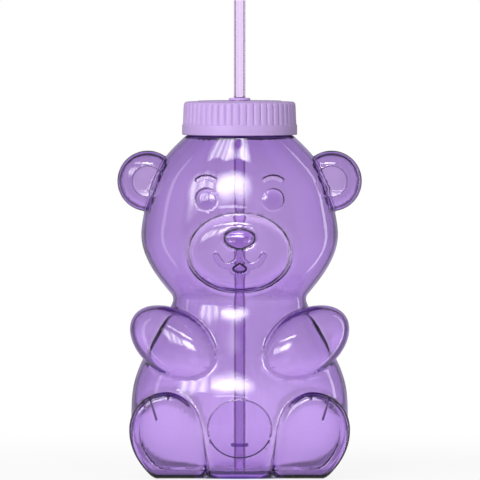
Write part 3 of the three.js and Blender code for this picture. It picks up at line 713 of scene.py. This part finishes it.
FRONT_DEPTH = -12
FRONT_LOWEST = 2
EAR_FRONT_DEPTH = -1
EAR_INNER_SIDE = 38
EAR_LOWEST = 138
SHOULDER_BACK = 3
SHOULDER_LOWEST = SHOULDER_LINE - 2


def in_front(points):
    """Whether points lie on the bear's front, on the fronts of its ears or under the front of the lid."""
    x, y, z = points.T
    ear = (np.abs(x) > EAR_INNER_SIDE) & (y < EAR_FRONT_DEPTH) & (z > EAR_LOWEST)
    shoulder = (y < SHOULDER_BACK) & (z > SHOULDER_LOWEST)
    return ((y < FRONT_DEPTH) & (z > FRONT_LOWEST)) | ear | shoulder


def quarter(bm, near, finest):
    """Quarters the marked faces, unless they are finer already."""
    bm.faces.ensure_lookup_table()
    marked = [bm.faces[i] for i in np.flatnonzero(near)]
    cut = {edge for face in marked if face.calc_area() > 2 * finest ** 2 for edge in face.edges}
    bmesh.ops.subdivide_edges(bm, edges=list(cut), cuts=1, use_grid_fill=True)


def middles(bm):
    return np.array([face.calc_center_median() for face in bm.faces])


def refine(bm, edges_of, reach, finest):
    """Quarters the faces of the front that lie within reach of the given edges."""
    at = middles(bm)
    near = np.min([np.abs(edge(at[:, 0], at[:, 2])) for edge in edges_of], axis=0) < reach
    quarter(bm, near & in_front(at), finest)


def raise_relief(bm):
    """Moves the front of the skin in or out by the relief, and the middle of the base up by its push-up."""
    points = places(bm)
    front = in_front(points)
    at = points[front]
    outward = slopes(at, 0, skin_distance(at, 0))
    outward /= np.linalg.norm(outward, axis=1)[:, None]
    points[front] = at + outward * relief(at[:, 0], at[:, 2])[:, None]
    base = points[:, 2] < BASE_TOLERANCE
    radius = np.hypot(points[base, 0], points[base, 1])
    points[base, 2] += PUSH_UP_DEPTH * step_up(radius - PUSH_UP_RADIUS, PUSH_UP_EDGE)
    put(bm, points)


OUTSIDE_FACES = 2.0
HOLLOW_FACES = 2.4
CREASE_FACES = 0.4
CREASE_REACHES = (2.2, 0.9)
RELIEF_FACES = 0.3
RELIEF_REACHES = (2.6, 1.3, 0.6)


def body_outside():
    """The outside of the body up to the root of the neck."""
    bm = fused_skin("body_outside", 0, OUTSIDE_FACES)
    quarter(bm, crease_distance(middles(bm)) < CREASE_REACHES[0], CREASE_FACES)
    settle(bm, 0, rounds=1)
    quarter(bm, crease_distance(middles(bm)) < CREASE_REACHES[1], CREASE_FACES)
    fine = (nose_edge, mouth_edge, tongue_edge, nostril_edge, eye_edge, brow_edge, muzzle_edge)
    fine += (belly_edge, ear_edge, groove_edge, base_edge, shoulder_edge)
    for reach in RELIEF_REACHES:
        refine(bm, fine, reach, RELIEF_FACES)
    settle(bm, 0, rounds=2)
    raise_relief(bm)
    return bm


def combine(base, other, operation):
    """Joins another closed form to a closed form, or cuts it out, and clears it away."""
    modifier = base.modifiers.new("combine", "BOOLEAN")
    modifier.operation = operation
    modifier.solver = "MANIFOLD"
    modifier.object = other
    mesh = applied(base)
    mesh.materials.clear()
    base.modifiers.clear()
    base.data = mesh
    bpy.data.objects.remove(other)


THREAD_PITCH = 4.0
THREAD_START = 185.2
THREAD_HALF_ROOT = 1.15
THREAD_HALF_CREST = 0.4
THREAD_STEPS = 96
THREAD_RUN_OUT = 12


def wound_thread(root, crest, start_angle, turns, lift=0):
    """A thread's ridge, wound upwards round the Z axis, which runs out into its wall at both ends."""
    bm = bmesh.new()
    steps = round(THREAD_STEPS * turns)
    rows = []
    for i in range(steps + 1):
        share = i / steps
        angle = start_angle + 2 * math.pi * turns * share
        middle = THREAD_START + lift + THREAD_PITCH * angle / (2 * math.pi)
        tip = root + (crest - root) * min(1, THREAD_RUN_OUT * share, THREAD_RUN_OUT * (1 - share))
        section = ((root, -THREAD_HALF_ROOT), (tip, -THREAD_HALF_CREST),
                   (tip, THREAD_HALF_CREST), (root, THREAD_HALF_ROOT))
        rows.append([bm.verts.new((radius * math.cos(angle), radius * math.sin(angle), middle + rise))
                     for radius, rise in section])
    for before, after in zip(rows[:-1], rows[1:]):
        for i in range(len(before)):
            bm.faces.new((before[i - 1], before[i], after[i], after[i - 1]))
    bm.faces.new(rows[0])
    bm.faces.new(rows[-1])
    bmesh.ops.recalc_face_normals(bm, faces=bm.faces)
    return bm


def new_node(tree, kind, inputs=(), **settings):
    """A new shader node with its settings, and inputs that are each a value or another node's output."""
    node = tree.nodes.new("ShaderNode" + kind)
    for name, setting in settings.items():
        setattr(node, name, setting)
    for socket, value in dict(inputs).items():
        if isinstance(value, bpy.types.NodeSocket):
            tree.links.new(value, node.inputs[socket])
        else:
            node.inputs[socket].default_value = value
    return node


def math_node(tree, operation, *values):
    return new_node(tree, "Math", enumerate(values), operation=operation).outputs[0]


def noise(tree, place, scale, detail):
    return new_node(tree, "TexNoise", {"Vector": place, "Scale": scale, "Detail": detail}).outputs[0]


def new_group(name, inputs, outputs):
    """A new group of shader nodes, and the sockets of its inputs and outputs."""
    group = bpy.data.node_groups.new(name, "ShaderNodeTree")
    for in_out, sockets in (("INPUT", inputs), ("OUTPUT", outputs)):
        for socket, kind in sockets.items():
            group.interface.new_socket(socket, in_out=in_out, socket_type="NodeSocket" + kind)
    return group, group.nodes.new("NodeGroupInput").outputs, group.nodes.new("NodeGroupOutput").inputs


def moulded_group():
    """What moulding leaves on plastic: broad faint waves and a fine grain in the skin, handling marks that
    change the gloss, and slight changes of tone."""
    levels = dict.fromkeys(("Tone", "Roughness", "Marks", "Waves", "Grain"), "Float")
    results = {"Colour": "Color", "Roughness": "Float", "Height": "Float"}
    group, given, result = new_group("moulded_skin", {"Colour": "Color", **levels}, results)
    place = new_node(group, "TexCoord").outputs["Object"]
    blotch = math_node(group, "SUBTRACT", noise(group, place, scale=28, detail=3), 0.5)
    smudge = math_node(group, "SUBTRACT", noise(group, place, scale=55, detail=6), 0.5)
    tone = math_node(group, "ADD", math_node(group, "MULTIPLY", blotch, given["Tone"]), 1)
    toned = new_node(group, "VectorMath", {0: given["Colour"], "Scale": tone}, operation="SCALE")
    group.links.new(toned.outputs[0], result["Colour"])
    marked = math_node(group, "MULTIPLY", smudge, given["Marks"])
    group.links.new(math_node(group, "ADD", marked, given["Roughness"]), result["Roughness"])
    waves = math_node(group, "MULTIPLY", noise(group, place, scale=42, detail=1), given["Waves"])
    grain = math_node(group, "MULTIPLY", noise(group, place, scale=2600, detail=2), given["Grain"])
    group.links.new(math_node(group, "ADD", waves, grain), result["Height"])
    return group


moulded_skin = moulded_group()


def moulded_material(name, colour, levels):
    """A material whose tone, gloss and skin vary as moulding leaves them. Waves and grain are in metres."""
    material = bpy.data.materials.new(name)
    material.use_nodes = True
    tree = material.node_tree
    skin = new_node(tree, "Group", {"Colour": (*colour, 1), **levels}, node_tree=moulded_skin).outputs
    bump = new_node(tree, "Bump", {"Distance": 1, "Height": skin["Height"]})
    shader = tree.nodes["Principled BSDF"].inputs
    tree.links.new(skin["Colour"], shader["Base Color"])
    tree.links.new(skin["Roughness"], shader["Roughness"])
    tree.links.new(bump.outputs["Normal"], shader["Normal"])
    return material


SKIN_DEPTH = 1.6


def paint_shade_lines(made, material, tint, shade_colour):
    """Paints shade into the colour of the front's outside, along the fine lines of the relief, in the creases
    and over the ears.
    """
    points = np.array([vert.co for vert in made.data.vertices]) / MM
    outside = in_front(points) & (skin_distance(points, 0) > -SKIN_DEPTH) & (points[:, 2] < BODY_TOP)
    shade = np.zeros(len(points))
    at = points[outside]
    shade[outside] = np.maximum(painted_shade(at[:, 0], at[:, 2]), painted_crease_and_ear_shade(at))
    made.data.attributes.new("painted_shade", "FLOAT", "POINT").data.foreach_set("value", shade)
    tree = material.node_tree
    lines = new_node(tree, "Attribute", attribute_name="painted_shade").outputs["Fac"]
    tint_and_shade = {"Factor": lines, "A": (*tint, 1), "B": (*shade_colour, 1)}
    mix = new_node(tree, "Mix", tint_and_shade, data_type="RGBA")
    tree.links.new(mix.outputs["Result"], tree.nodes["Group"].inputs["Colour"])


CLEAR_SKIN = {"Tone": 0.02, "Marks": 0.012, "Waves": 0.00025, "Grain": 0}
REFRACTION = 1.5


def clear_plastic(name, tint, absorption, density, roughness):
    """Clear moulded plastic: glass-like, tinted through its thickness, with faint waves in its skin."""
    material = moulded_material(name, tint, {"Roughness": roughness, **CLEAR_SKIN})
    tree = material.node_tree
    shader = tree.nodes["Principled BSDF"].inputs
    shader["IOR"].default_value = REFRACTION
    shader["Transmission Weight"].default_value = 1
    depth = new_node(tree, "VolumeAbsorption", {"Color": (*absorption, 1), "Density": density})
    tree.links.new(depth.outputs["Volume"], tree.nodes["Material Output"].inputs["Volume"])
    return material


VIOLET_TINT = (0.97, 0.94, 0.99)
VIOLET_ABSORPTION = (0.383, 0.057, 0.693)
# The dark colour of the painted shade, mixed into the violet tint along the lines, creases and ears.
SHADE_PAINT_COLOUR = (0.006, 0.003, 0.018)
violet_plastic = clear_plastic(
    "violet_clear_plastic", VIOLET_TINT, VIOLET_ABSORPTION, density=300, roughness=0.015)
bottle = new_object(body_outside(), "bottle_shell")
neck_profile = [
    (0, NECK_ROOT),
    (NECK_RADIUS, NECK_ROOT),
    (NECK_RADIUS, NECK_TOP - LIP_ROUNDING),
    (NECK_RADIUS - LIP_BEVEL, NECK_TOP - LIP_BEVEL),
    (NECK_RADIUS - LIP_ROUNDING, NECK_TOP),
    (0, NECK_TOP),
]
neck_thread = wound_thread(root=26.0, crest=27.2, start_angle=0, turns=1.0)
combine(bottle, new_object(spun(neck_profile, NECK_STEPS), "neck"), "UNION")
combine(bottle, new_object(neck_thread, "neck_thread"), "UNION")
hollow = new_object(fused_skin("body_hollow", WALL, HOLLOW_FACES), "bottle_hollow")
bore_profile = [(0, BORE_ROOT), (BORE_RADIUS, BORE_ROOT), (BORE_RADIUS, BORE_TOP), (0, BORE_TOP)]
combine(hollow, new_object(spun(bore_profile, NECK_STEPS), "bore"), "UNION")
combine(bottle, hollow, "DIFFERENCE")
bottle.data.set_sharp_from_angle(angle=math.radians(55))
bottle.data.materials.append(violet_plastic)
paint_shade_lines(bottle, violet_plastic, VIOLET_TINT, SHADE_PAINT_COLOUR)
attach(bottle, "bottle_body")
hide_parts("bottle")


# Screw lid: an opaque lavender cap, injection-moulded, with a ribbed grip above a plain band.
# It screws onto the neck. A rounded section is spun and the ribs are pressed into its skirt.
LID_BOTTOM = 180.8
LID_TOP = 198.4
LID_BAND_RADIUS = 30.5
LID_BAND_TOP = 186.2
# Each corner of a section gives a radius, a height and how far the corner is rounded.
LID_CORNERS = (
    (27.9, LID_BOTTOM, 0.3),
    (LID_BAND_RADIUS, LID_BOTTOM, 0.5),
    (LID_BAND_RADIUS, LID_BAND_TOP, 0.35),
    (30.1, LID_BAND_TOP + 0.05, 0),
    (30.1, LID_BAND_TOP + 0.6, 0),
    (29.95, 189, 0),
    (29.85, 192, 0),
    (29.75, 194.5, 0),
    (29.65, 196, 0),
    (29.5, LID_TOP, 1.9),
    (22.6, LID_TOP, 0.4),
    (22.0, 198.9, 0.4),
    (4.4, 198.9, 0.3),
    (4.4, 196.4, 0.2),
    (22.55, 196.4, 0.3),
    (22.55, 190.0, 0.3),
    (23.95, 190.0, 0.5),
    (23.95, 196.4, 0.3),
    (27.9, 196.4, 0.6),
)
GRIP_INSIDE = 27.5
RIB_COUNT = 48
RIB_STEPS = 14
RIB_DEPTH = 0.8
RIB_SHARPNESS = 2.2
RIB_FADE_BELOW = 0.3
RIB_FADE_ABOVE = 1.4
CORNER_STEPS = 5
LAVENDER = (0.55, 0.385, 0.75)


def rounded(corners):
    """A section of radius and height whose corners are rounded, each by its own third value."""
    section = []
    for i, (radius, height, rounding) in enumerate(corners):
        here = Vector((radius, height))
        if rounding == 0:
            section.append((radius, height))
            continue
        before = Vector(corners[i - 1][:2]) - here
        after = Vector(corners[(i + 1) % len(corners)][:2]) - here
        start = here + before.normalized() * rounding
        end = here + after.normalized() * rounding
        for step in range(CORNER_STEPS + 1):
            share = step / CORNER_STEPS
            section.append(tuple(start.lerp(here, share).lerp(here.lerp(end, share), share)))
    return section


def spun_ring(corners, steps):
    section = rounded(corners)
    return spun(section + section[:1], steps)


def lid_form():
    """The lid, with wide round ribs and narrow grooves between them."""
    bm = spun_ring(LID_CORNERS, RIB_COUNT * RIB_STEPS)
    points = places(bm)
    radius = np.hypot(points[:, 0], points[:, 1])
    angle = np.arctan2(points[:, 1], points[:, 0])
    groove = (1 - np.abs(np.sin(angle * RIB_COUNT / 2))) ** RIB_SHARPNESS
    height = points[:, 2]
    above_band = np.clip((height - LID_BAND_TOP) / RIB_FADE_BELOW, 0, 1)
    below_top = np.clip((LID_TOP - height) / RIB_FADE_ABOVE, 0, 1)
    grip = (radius > GRIP_INSIDE) * above_band * below_top
    scale = 1 - RIB_DEPTH * groove * grip / np.maximum(radius, 1)
    points[:, :2] *= scale[:, None]
    put(bm, points)
    return bm


SOLID_SKIN = {"Tone": 0.1, "Marks": 0.16, "Waves": 0.00004, "Grain": 0.000012}


def solid_plastic(name, colour, roughness):
    """Opaque moulded plastic or silicone with a fine grain and slight changes of tone."""
    return moulded_material(name, colour, {"Roughness": roughness, **SOLID_SKIN})


lid_thread = wound_thread(root=28.3, crest=27.05, start_angle=math.pi, turns=0.9, lift=THREAD_PITCH / 2)
lid = new_object(lid_form(), "lid_cap")
combine(lid, new_object(lid_thread, "lid_thread"), "UNION")
lid.data.set_sharp_from_angle(angle=math.radians(40))
lid.data.materials.append(solid_plastic("lavender_plastic", LAVENDER, roughness=0.36))
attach(lid, "screw_lid")
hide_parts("lid")


# Lid gasket: a flat ring of white silicone, moulded in one piece.
# It lies on the lip of the neck, round the lid's plug ring, where the lid squeezes it.
GASKET_RADII = (24.2, 27.0)
GASKET_HEIGHTS = (194.65, 196.25)
GASKET_ROUNDINGS = (0.3, 0.3)
GASKET_WHITE = (0.8, 0.76, 0.86)


def flat_ring(radii, heights, roundings, steps):
    """A ring with a square section, which has one rounding for its inner edges and one for its outer ones."""
    (inner, outer), (bottom, top) = radii, heights
    inside, outside = roundings
    corners = [(inner, bottom, inside), (outer, bottom, outside), (outer, top, outside), (inner, top, inside)]
    return spun_ring(corners, steps)


gasket = new_object(flat_ring(GASKET_RADII, GASKET_HEIGHTS, GASKET_ROUNDINGS, steps=96), "gasket_ring")
gasket.data.materials.append(solid_plastic("white_silicone", GASKET_WHITE, roughness=0.5))
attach(gasket, "lid_seal")
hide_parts("lid_gasket")


# Straw grommet: a soft pink collar of moulded silicone, which grips the straw.
# It is pressed into the lid's middle hole, whose edge sits in the groove round the collar.
GROMMET_CORNERS = (
    (3.3, 194.85, 0.4),
    (5.65, 194.85, 0.5),
    (5.65, 196.25, 0.3),
    (4.15, 196.25, 0.2),
    (4.15, 199.05, 0.2),
    (5.65, 199.05, 0.3),
    (5.65, 200.35, 0.6),
    (3.3, 200.35, 0.5),
)
GROMMET_PINK = (0.66, 0.45, 0.86)
grommet = new_object(spun_ring(GROMMET_CORNERS, steps=96), "grommet_collar")
grommet.data.materials.append(solid_plastic("pink_silicone", GROMMET_PINK, roughness=0.42))
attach(grommet, "straw_collar")
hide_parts("straw_grommet")


# Straw: a straight tube of clear pale violet plastic, extruded, cut square and deburred at both ends.
# It slides in the grommet and reaches nearly to the bottle's floor.
STRAW_RADII = (2.15, 3.05)
STRAW_HEIGHTS = (2.8, 252.0)
STRAW_ROUNDINGS = (0.2, 0.2)
STRAW_TINT = (0.99, 0.98, 1.0)
STRAW_ABSORPTION = (0.528, 0.028, 0.833)
straw = new_object(flat_ring(STRAW_RADII, STRAW_HEIGHTS, STRAW_ROUNDINGS, steps=64), "straw_tube")
straw.data.materials.append(
    clear_plastic("straw_plastic", STRAW_TINT, STRAW_ABSORPTION, density=220, roughness=0.02))
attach(straw, "drinking_straw")
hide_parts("straw")


# Stop ring: a small moulded ring of the same plastic, pushed onto the straw near its lower end.
# It keeps the straw from being pulled up out of the lid.
STOP_RADII = (3.3, 4.75)
STOP_HEIGHTS = (15.05, 16.95)
STOP_ROUNDINGS = (0.2, 0.7)
STOP_TINT = (0.75, 0.6, 0.9)
STOP_ABSORPTION = (0.45, 0.1, 0.75)
stop_ring = new_object(flat_ring(STOP_RADII, STOP_HEIGHTS, STOP_ROUNDINGS, steps=64), "stop_ring_band")
stop_ring.data.materials.append(
    clear_plastic("ring_plastic", STOP_TINT, STOP_ABSORPTION, density=150, roughness=0.05))
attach(stop_ring, "drinking_straw")
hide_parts("straw_stop_ring")


# Stage: a pale floor of matt paint that keeps the bottle's shadow, and a white studio of panels all round it.
# A softbox lights the bottle, a window is mirrored in it, and the camera stands far off in front.
def smooth_range(tree, value, ends, levels=(0, 1)):
    """Goes smoothly from one level to the other while a value goes from one end of a range to the other."""
    names = ("Value", "From Min", "From Max", "To Min", "To Max")
    inputs = zip(names, (value, *ends, *levels))
    return new_node(tree, "MapRange", inputs, interpolation_type="SMOOTHSTEP").outputs[0]


def mixed(tree, share, first, second):
    return new_node(tree, "Mix", {"Factor": share, "A": first, "B": second}).outputs["Result"]


def seen_directly(tree):
    """1 for a ray from the camera or one that a shiny or clear surface sends on, and 0 for soft light."""
    path = new_node(tree, "LightPath").outputs
    either = math_node(tree, "MAXIMUM", path["Is Camera Ray"], path["Is Glossy Ray"])
    return math_node(tree, "MAXIMUM", either, path["Is Transmission Ray"])


PANEL_COUNT = 4
PANEL_EDGE = (-0.5, 0.3)
PANEL_GAP = 0.3


def panel_group():
    """White panels all round the studio with dark gaps between them, by direction from the bottle."""
    group, given, result = new_group("studio_panels", {"Direction": "Vector"}, {"Level": "Float"})
    parts = new_node(group, "SeparateXYZ", {0: given["Direction"]}).outputs
    around = math_node(group, "ARCTAN2", parts["Y"], parts["X"])
    wave = math_node(group, "COSINE", math_node(group, "MULTIPLY", around, PANEL_COUNT))
    group.links.new(smooth_range(group, wave, PANEL_EDGE, (PANEL_GAP, 1)), result["Level"])
    return group


studio_panels = panel_group()


def panel_level(tree, direction):
    return new_node(tree, "Group", {"Direction": direction}, node_tree=studio_panels).outputs["Level"]


def bare_material(name):
    """A new material with no shader yet."""
    material = bpy.data.materials.new(name)
    material.use_nodes = True
    material.node_tree.nodes.remove(material.node_tree.nodes["Principled BSDF"])
    return material


FLOOR_RADIUS = 60
FLOOR_COLOUR = (0.8, 0.8, 0.8)
SHADOW_FADE = (0.1, 0.5)
SHADOW_GLOW = 0.9
NEARNESS = (0.1, 1.2)
NEAR_GLOW = 1.35


def floor_material():
    """Matt paint that takes a faint shadow near the bottle, under a glow that is strongest close to it."""
    material = bare_material("floor_paint")
    tree = material.node_tree
    place = new_node(tree, "TexCoord").outputs["Object"]
    away = new_node(tree, "VectorMath", {0: place}, operation="LENGTH").outputs["Value"]
    near = smooth_range(tree, math_node(tree, "DIVIDE", 1, away), NEARNESS, (1, NEAR_GLOW))
    lit = math_node(tree, "MULTIPLY", panel_level(tree, place), near)
    from_camera = new_node(tree, "LightPath").outputs["Is Camera Ray"]
    glow = new_node(tree, "Emission", {"Strength": mixed(tree, from_camera, lit, 1)})
    matt = new_node(tree, "BsdfDiffuse", {"Color": (*FLOOR_COLOUR, 1)})
    far = smooth_range(tree, away, SHADOW_FADE, (SHADOW_GLOW, 1))
    share = math_node(tree, "MULTIPLY", seen_directly(tree), far)
    shown = new_node(tree, "MixShader", {"Fac": share, 1: matt.outputs[0], 2: glow.outputs[0]})
    tree.links.new(shown.outputs[0], tree.nodes["Material Output"].inputs["Surface"])
    return material


floor_disc = bmesh.new()
bmesh.ops.create_circle(floor_disc, cap_ends=True, segments=64, radius=FLOOR_RADIUS)
floor = mesh_object(floor_disc, "floor")
floor.data.materials.append(floor_material())
floor.visible_glossy = False

CEILING_EDGE = (math.sin(math.radians(14)), math.sin(math.radians(42)))
CEILING_LEVEL = 0.1
MIRRORED_LEVEL = 0.4
LIGHT_LEVEL = 0.363


def studio_world():
    """The studio's panels under a dark ceiling, with one even level where mirrored and one for soft light."""
    world = bpy.data.worlds.new("studio")
    world.use_nodes = True
    tree = world.node_tree
    direction = new_node(tree, "TexCoord").outputs["Generated"]
    parts = new_node(tree, "SeparateXYZ", {0: direction}).outputs
    ceiling = smooth_range(tree, parts["Z"], CEILING_EDGE, (1, CEILING_LEVEL))
    studio = math_node(tree, "MULTIPLY", ceiling, panel_level(tree, direction))
    path = new_node(tree, "LightPath").outputs
    mirrored = math_node(tree, "SUBTRACT", path["Is Glossy Ray"], path["Is Transmission Ray"])
    seen = mixed(tree, mirrored, studio, MIRRORED_LEVEL)
    background = tree.nodes["Background"].inputs
    background["Color"].default_value = (1, 1, 1, 1)
    tree.links.new(mixed(tree, seen_directly(tree), LIGHT_LEVEL, seen), background["Strength"])
    return world


bpy.context.scene.world = studio_world()
BOTTLE_MIDDLE = Vector((0, 0, 0.12))


def facing(azimuth, elevation, distance):
    """A place round the bottle and the turn that faces it. Azimuth 0 is in front, and 90 is on the right."""
    a = math.radians(azimuth)
    e = math.radians(elevation)
    place = Vector((math.sin(a) * math.cos(e), -math.cos(a) * math.cos(e), math.sin(e))) * distance
    return place + BOTTLE_MIDDLE, (-place).to_track_quat("-Z", "Y").to_euler()


key_data = bpy.data.lights.new("key", "AREA")
key_data.size = 1.0
key_data.energy = 17
key = scene_object("key", key_data)
key.location, key.rotation_euler = facing(azimuth=-20, elevation=30, distance=1.5)
key.visible_glossy = False
key.visible_transmission = False


def collection_of(name, pieces):
    collection = bpy.data.collections.new(name)
    for made in pieces:
        collection.objects.link(made)
    return collection


WINDOW_DISTANCE = 1.5
WINDOW_SWAY = 0.3
BAR_DEPTH = 0.3
clear_pieces = collection_of("clear_pieces", (bottle, straw, stop_ring))
lid_pieces = collection_of("lid_pieces", (lid, grommet))


def softened(tree, value, softness):
    """Falls softly to 0 where a value that runs from 0 to 1 comes to either end."""
    return smooth_range(tree, math_node(tree, "PINGPONG", value, 0.5), (0, softness))


def barred(tree, value, bars):
    """Dims a window by soft upright bars."""
    wave = math_node(tree, "COSINE", math_node(tree, "MULTIPLY", value, 2 * math.pi * bars))
    return math_node(tree, "MULTIPLY_ADD", wave, BAR_DEPTH, 1 - BAR_DEPTH)


def pane_material(name, radiance, softness, bars):
    """A glow with soft, swaying edges, which has bars across it or none."""
    material = bare_material(name)
    tree = material.node_tree
    place = new_node(tree, "TexCoord").outputs["Generated"]
    parts = new_node(tree, "SeparateXYZ", {0: place}).outputs
    sway = math_node(tree, "SUBTRACT", noise(tree, place, scale=2.5, detail=1), 0.5)
    swayed = [math_node(tree, "MULTIPLY_ADD", sway, WINDOW_SWAY, parts[axis]) for axis in "XY"]
    across, upright = [softened(tree, value, soft) for value, soft in zip(swayed, softness)]
    if bars:
        across = math_node(tree, "MULTIPLY", across, barred(tree, parts["X"], bars))
    shape = math_node(tree, "MULTIPLY", across, upright)
    glow = new_node(tree, "Emission", {"Strength": math_node(tree, "MULTIPLY", shape, radiance)})
    tree.links.new(glow.outputs[0], tree.nodes["Material Output"].inputs["Surface"])
    return material


def pane(name, azimuths, elevations, radiance, softness, bars=0, mirrored_in=clear_pieces):
    """A glowing pane of the studio's window, given by the angles that it spans as seen from the bottle."""
    halves = [math.tan(math.radians(end - start) / 2) for start, end in (azimuths, elevations)]
    size = Matrix.Diagonal([2 * WINDOW_DISTANCE * half for half in halves] + [1, 1])
    bm = bmesh.new()
    bmesh.ops.create_grid(bm, x_segments=1, y_segments=1, size=0.5, matrix=size)
    made = mesh_object(bm, name)
    made.location, made.rotation_euler = facing(sum(azimuths) / 2, sum(elevations) / 2, WINDOW_DISTANCE)
    for kind in ("camera", "diffuse", "transmission", "shadow", "volume_scatter"):
        setattr(made, "visible_" + kind, False)
    made.light_linking.receiver_collection = mirrored_in
    made.data.materials.append(pane_material(name, radiance, softness, bars))


# Each pane has its span to the side and upwards in degrees, its radiance and how soft its edges are.
pane("pane_left", (-62, -24), (6, 39), 12, (0.25, 0.4), bars=4)
pane("pane_right", (-32, 15), (13, 39), 21, (0.4, 0.45))
pane("pane_sill", (-24, 10), (12.5, 15), 8, (0.2, 0.4))
pane("pane_upper_left", (-52, -22), (44.5, 53), 12, (0.2, 0.2), bars=4)
pane("pane_upper_right", (-24, 12), (44.5, 53), 20, (0.3, 0.2))
pane("pane_lid", (-58, -10), (-6, 16), 8, (0.45, 0.45), mirrored_in=lid_pieces)
pane("strip_left", (-94, -84), (-40, 45), 2.5, (0.4, 0.1))
pane("strip_right", (106, 116), (-40, 45), 4, (0.4, 0.1))

CAMERA_DISTANCE = 5.0
CAMERA_ELEVATION = math.radians(1.7)
FRAME_WIDTH = 0.2544
SENSOR_WIDTH = 36
target = Vector((0.0002, 0, 0.125))
camera_data = bpy.data.cameras.new("camera")
camera_data.sensor_width = SENSOR_WIDTH
camera_data.lens = SENSOR_WIDTH * CAMERA_DISTANCE / FRAME_WIDTH
camera = scene_object("camera", camera_data)
towards_camera = Vector((0, -math.cos(CAMERA_ELEVATION), math.sin(CAMERA_ELEVATION)))
camera.location = target + towards_camera * CAMERA_DISTANCE
camera.rotation_euler = (target - camera.location).to_track_quat("-Z", "Y").to_euler()
bpy.context.scene.camera = camera
bpy.context.scene.view_settings.view_transform = "Standard"
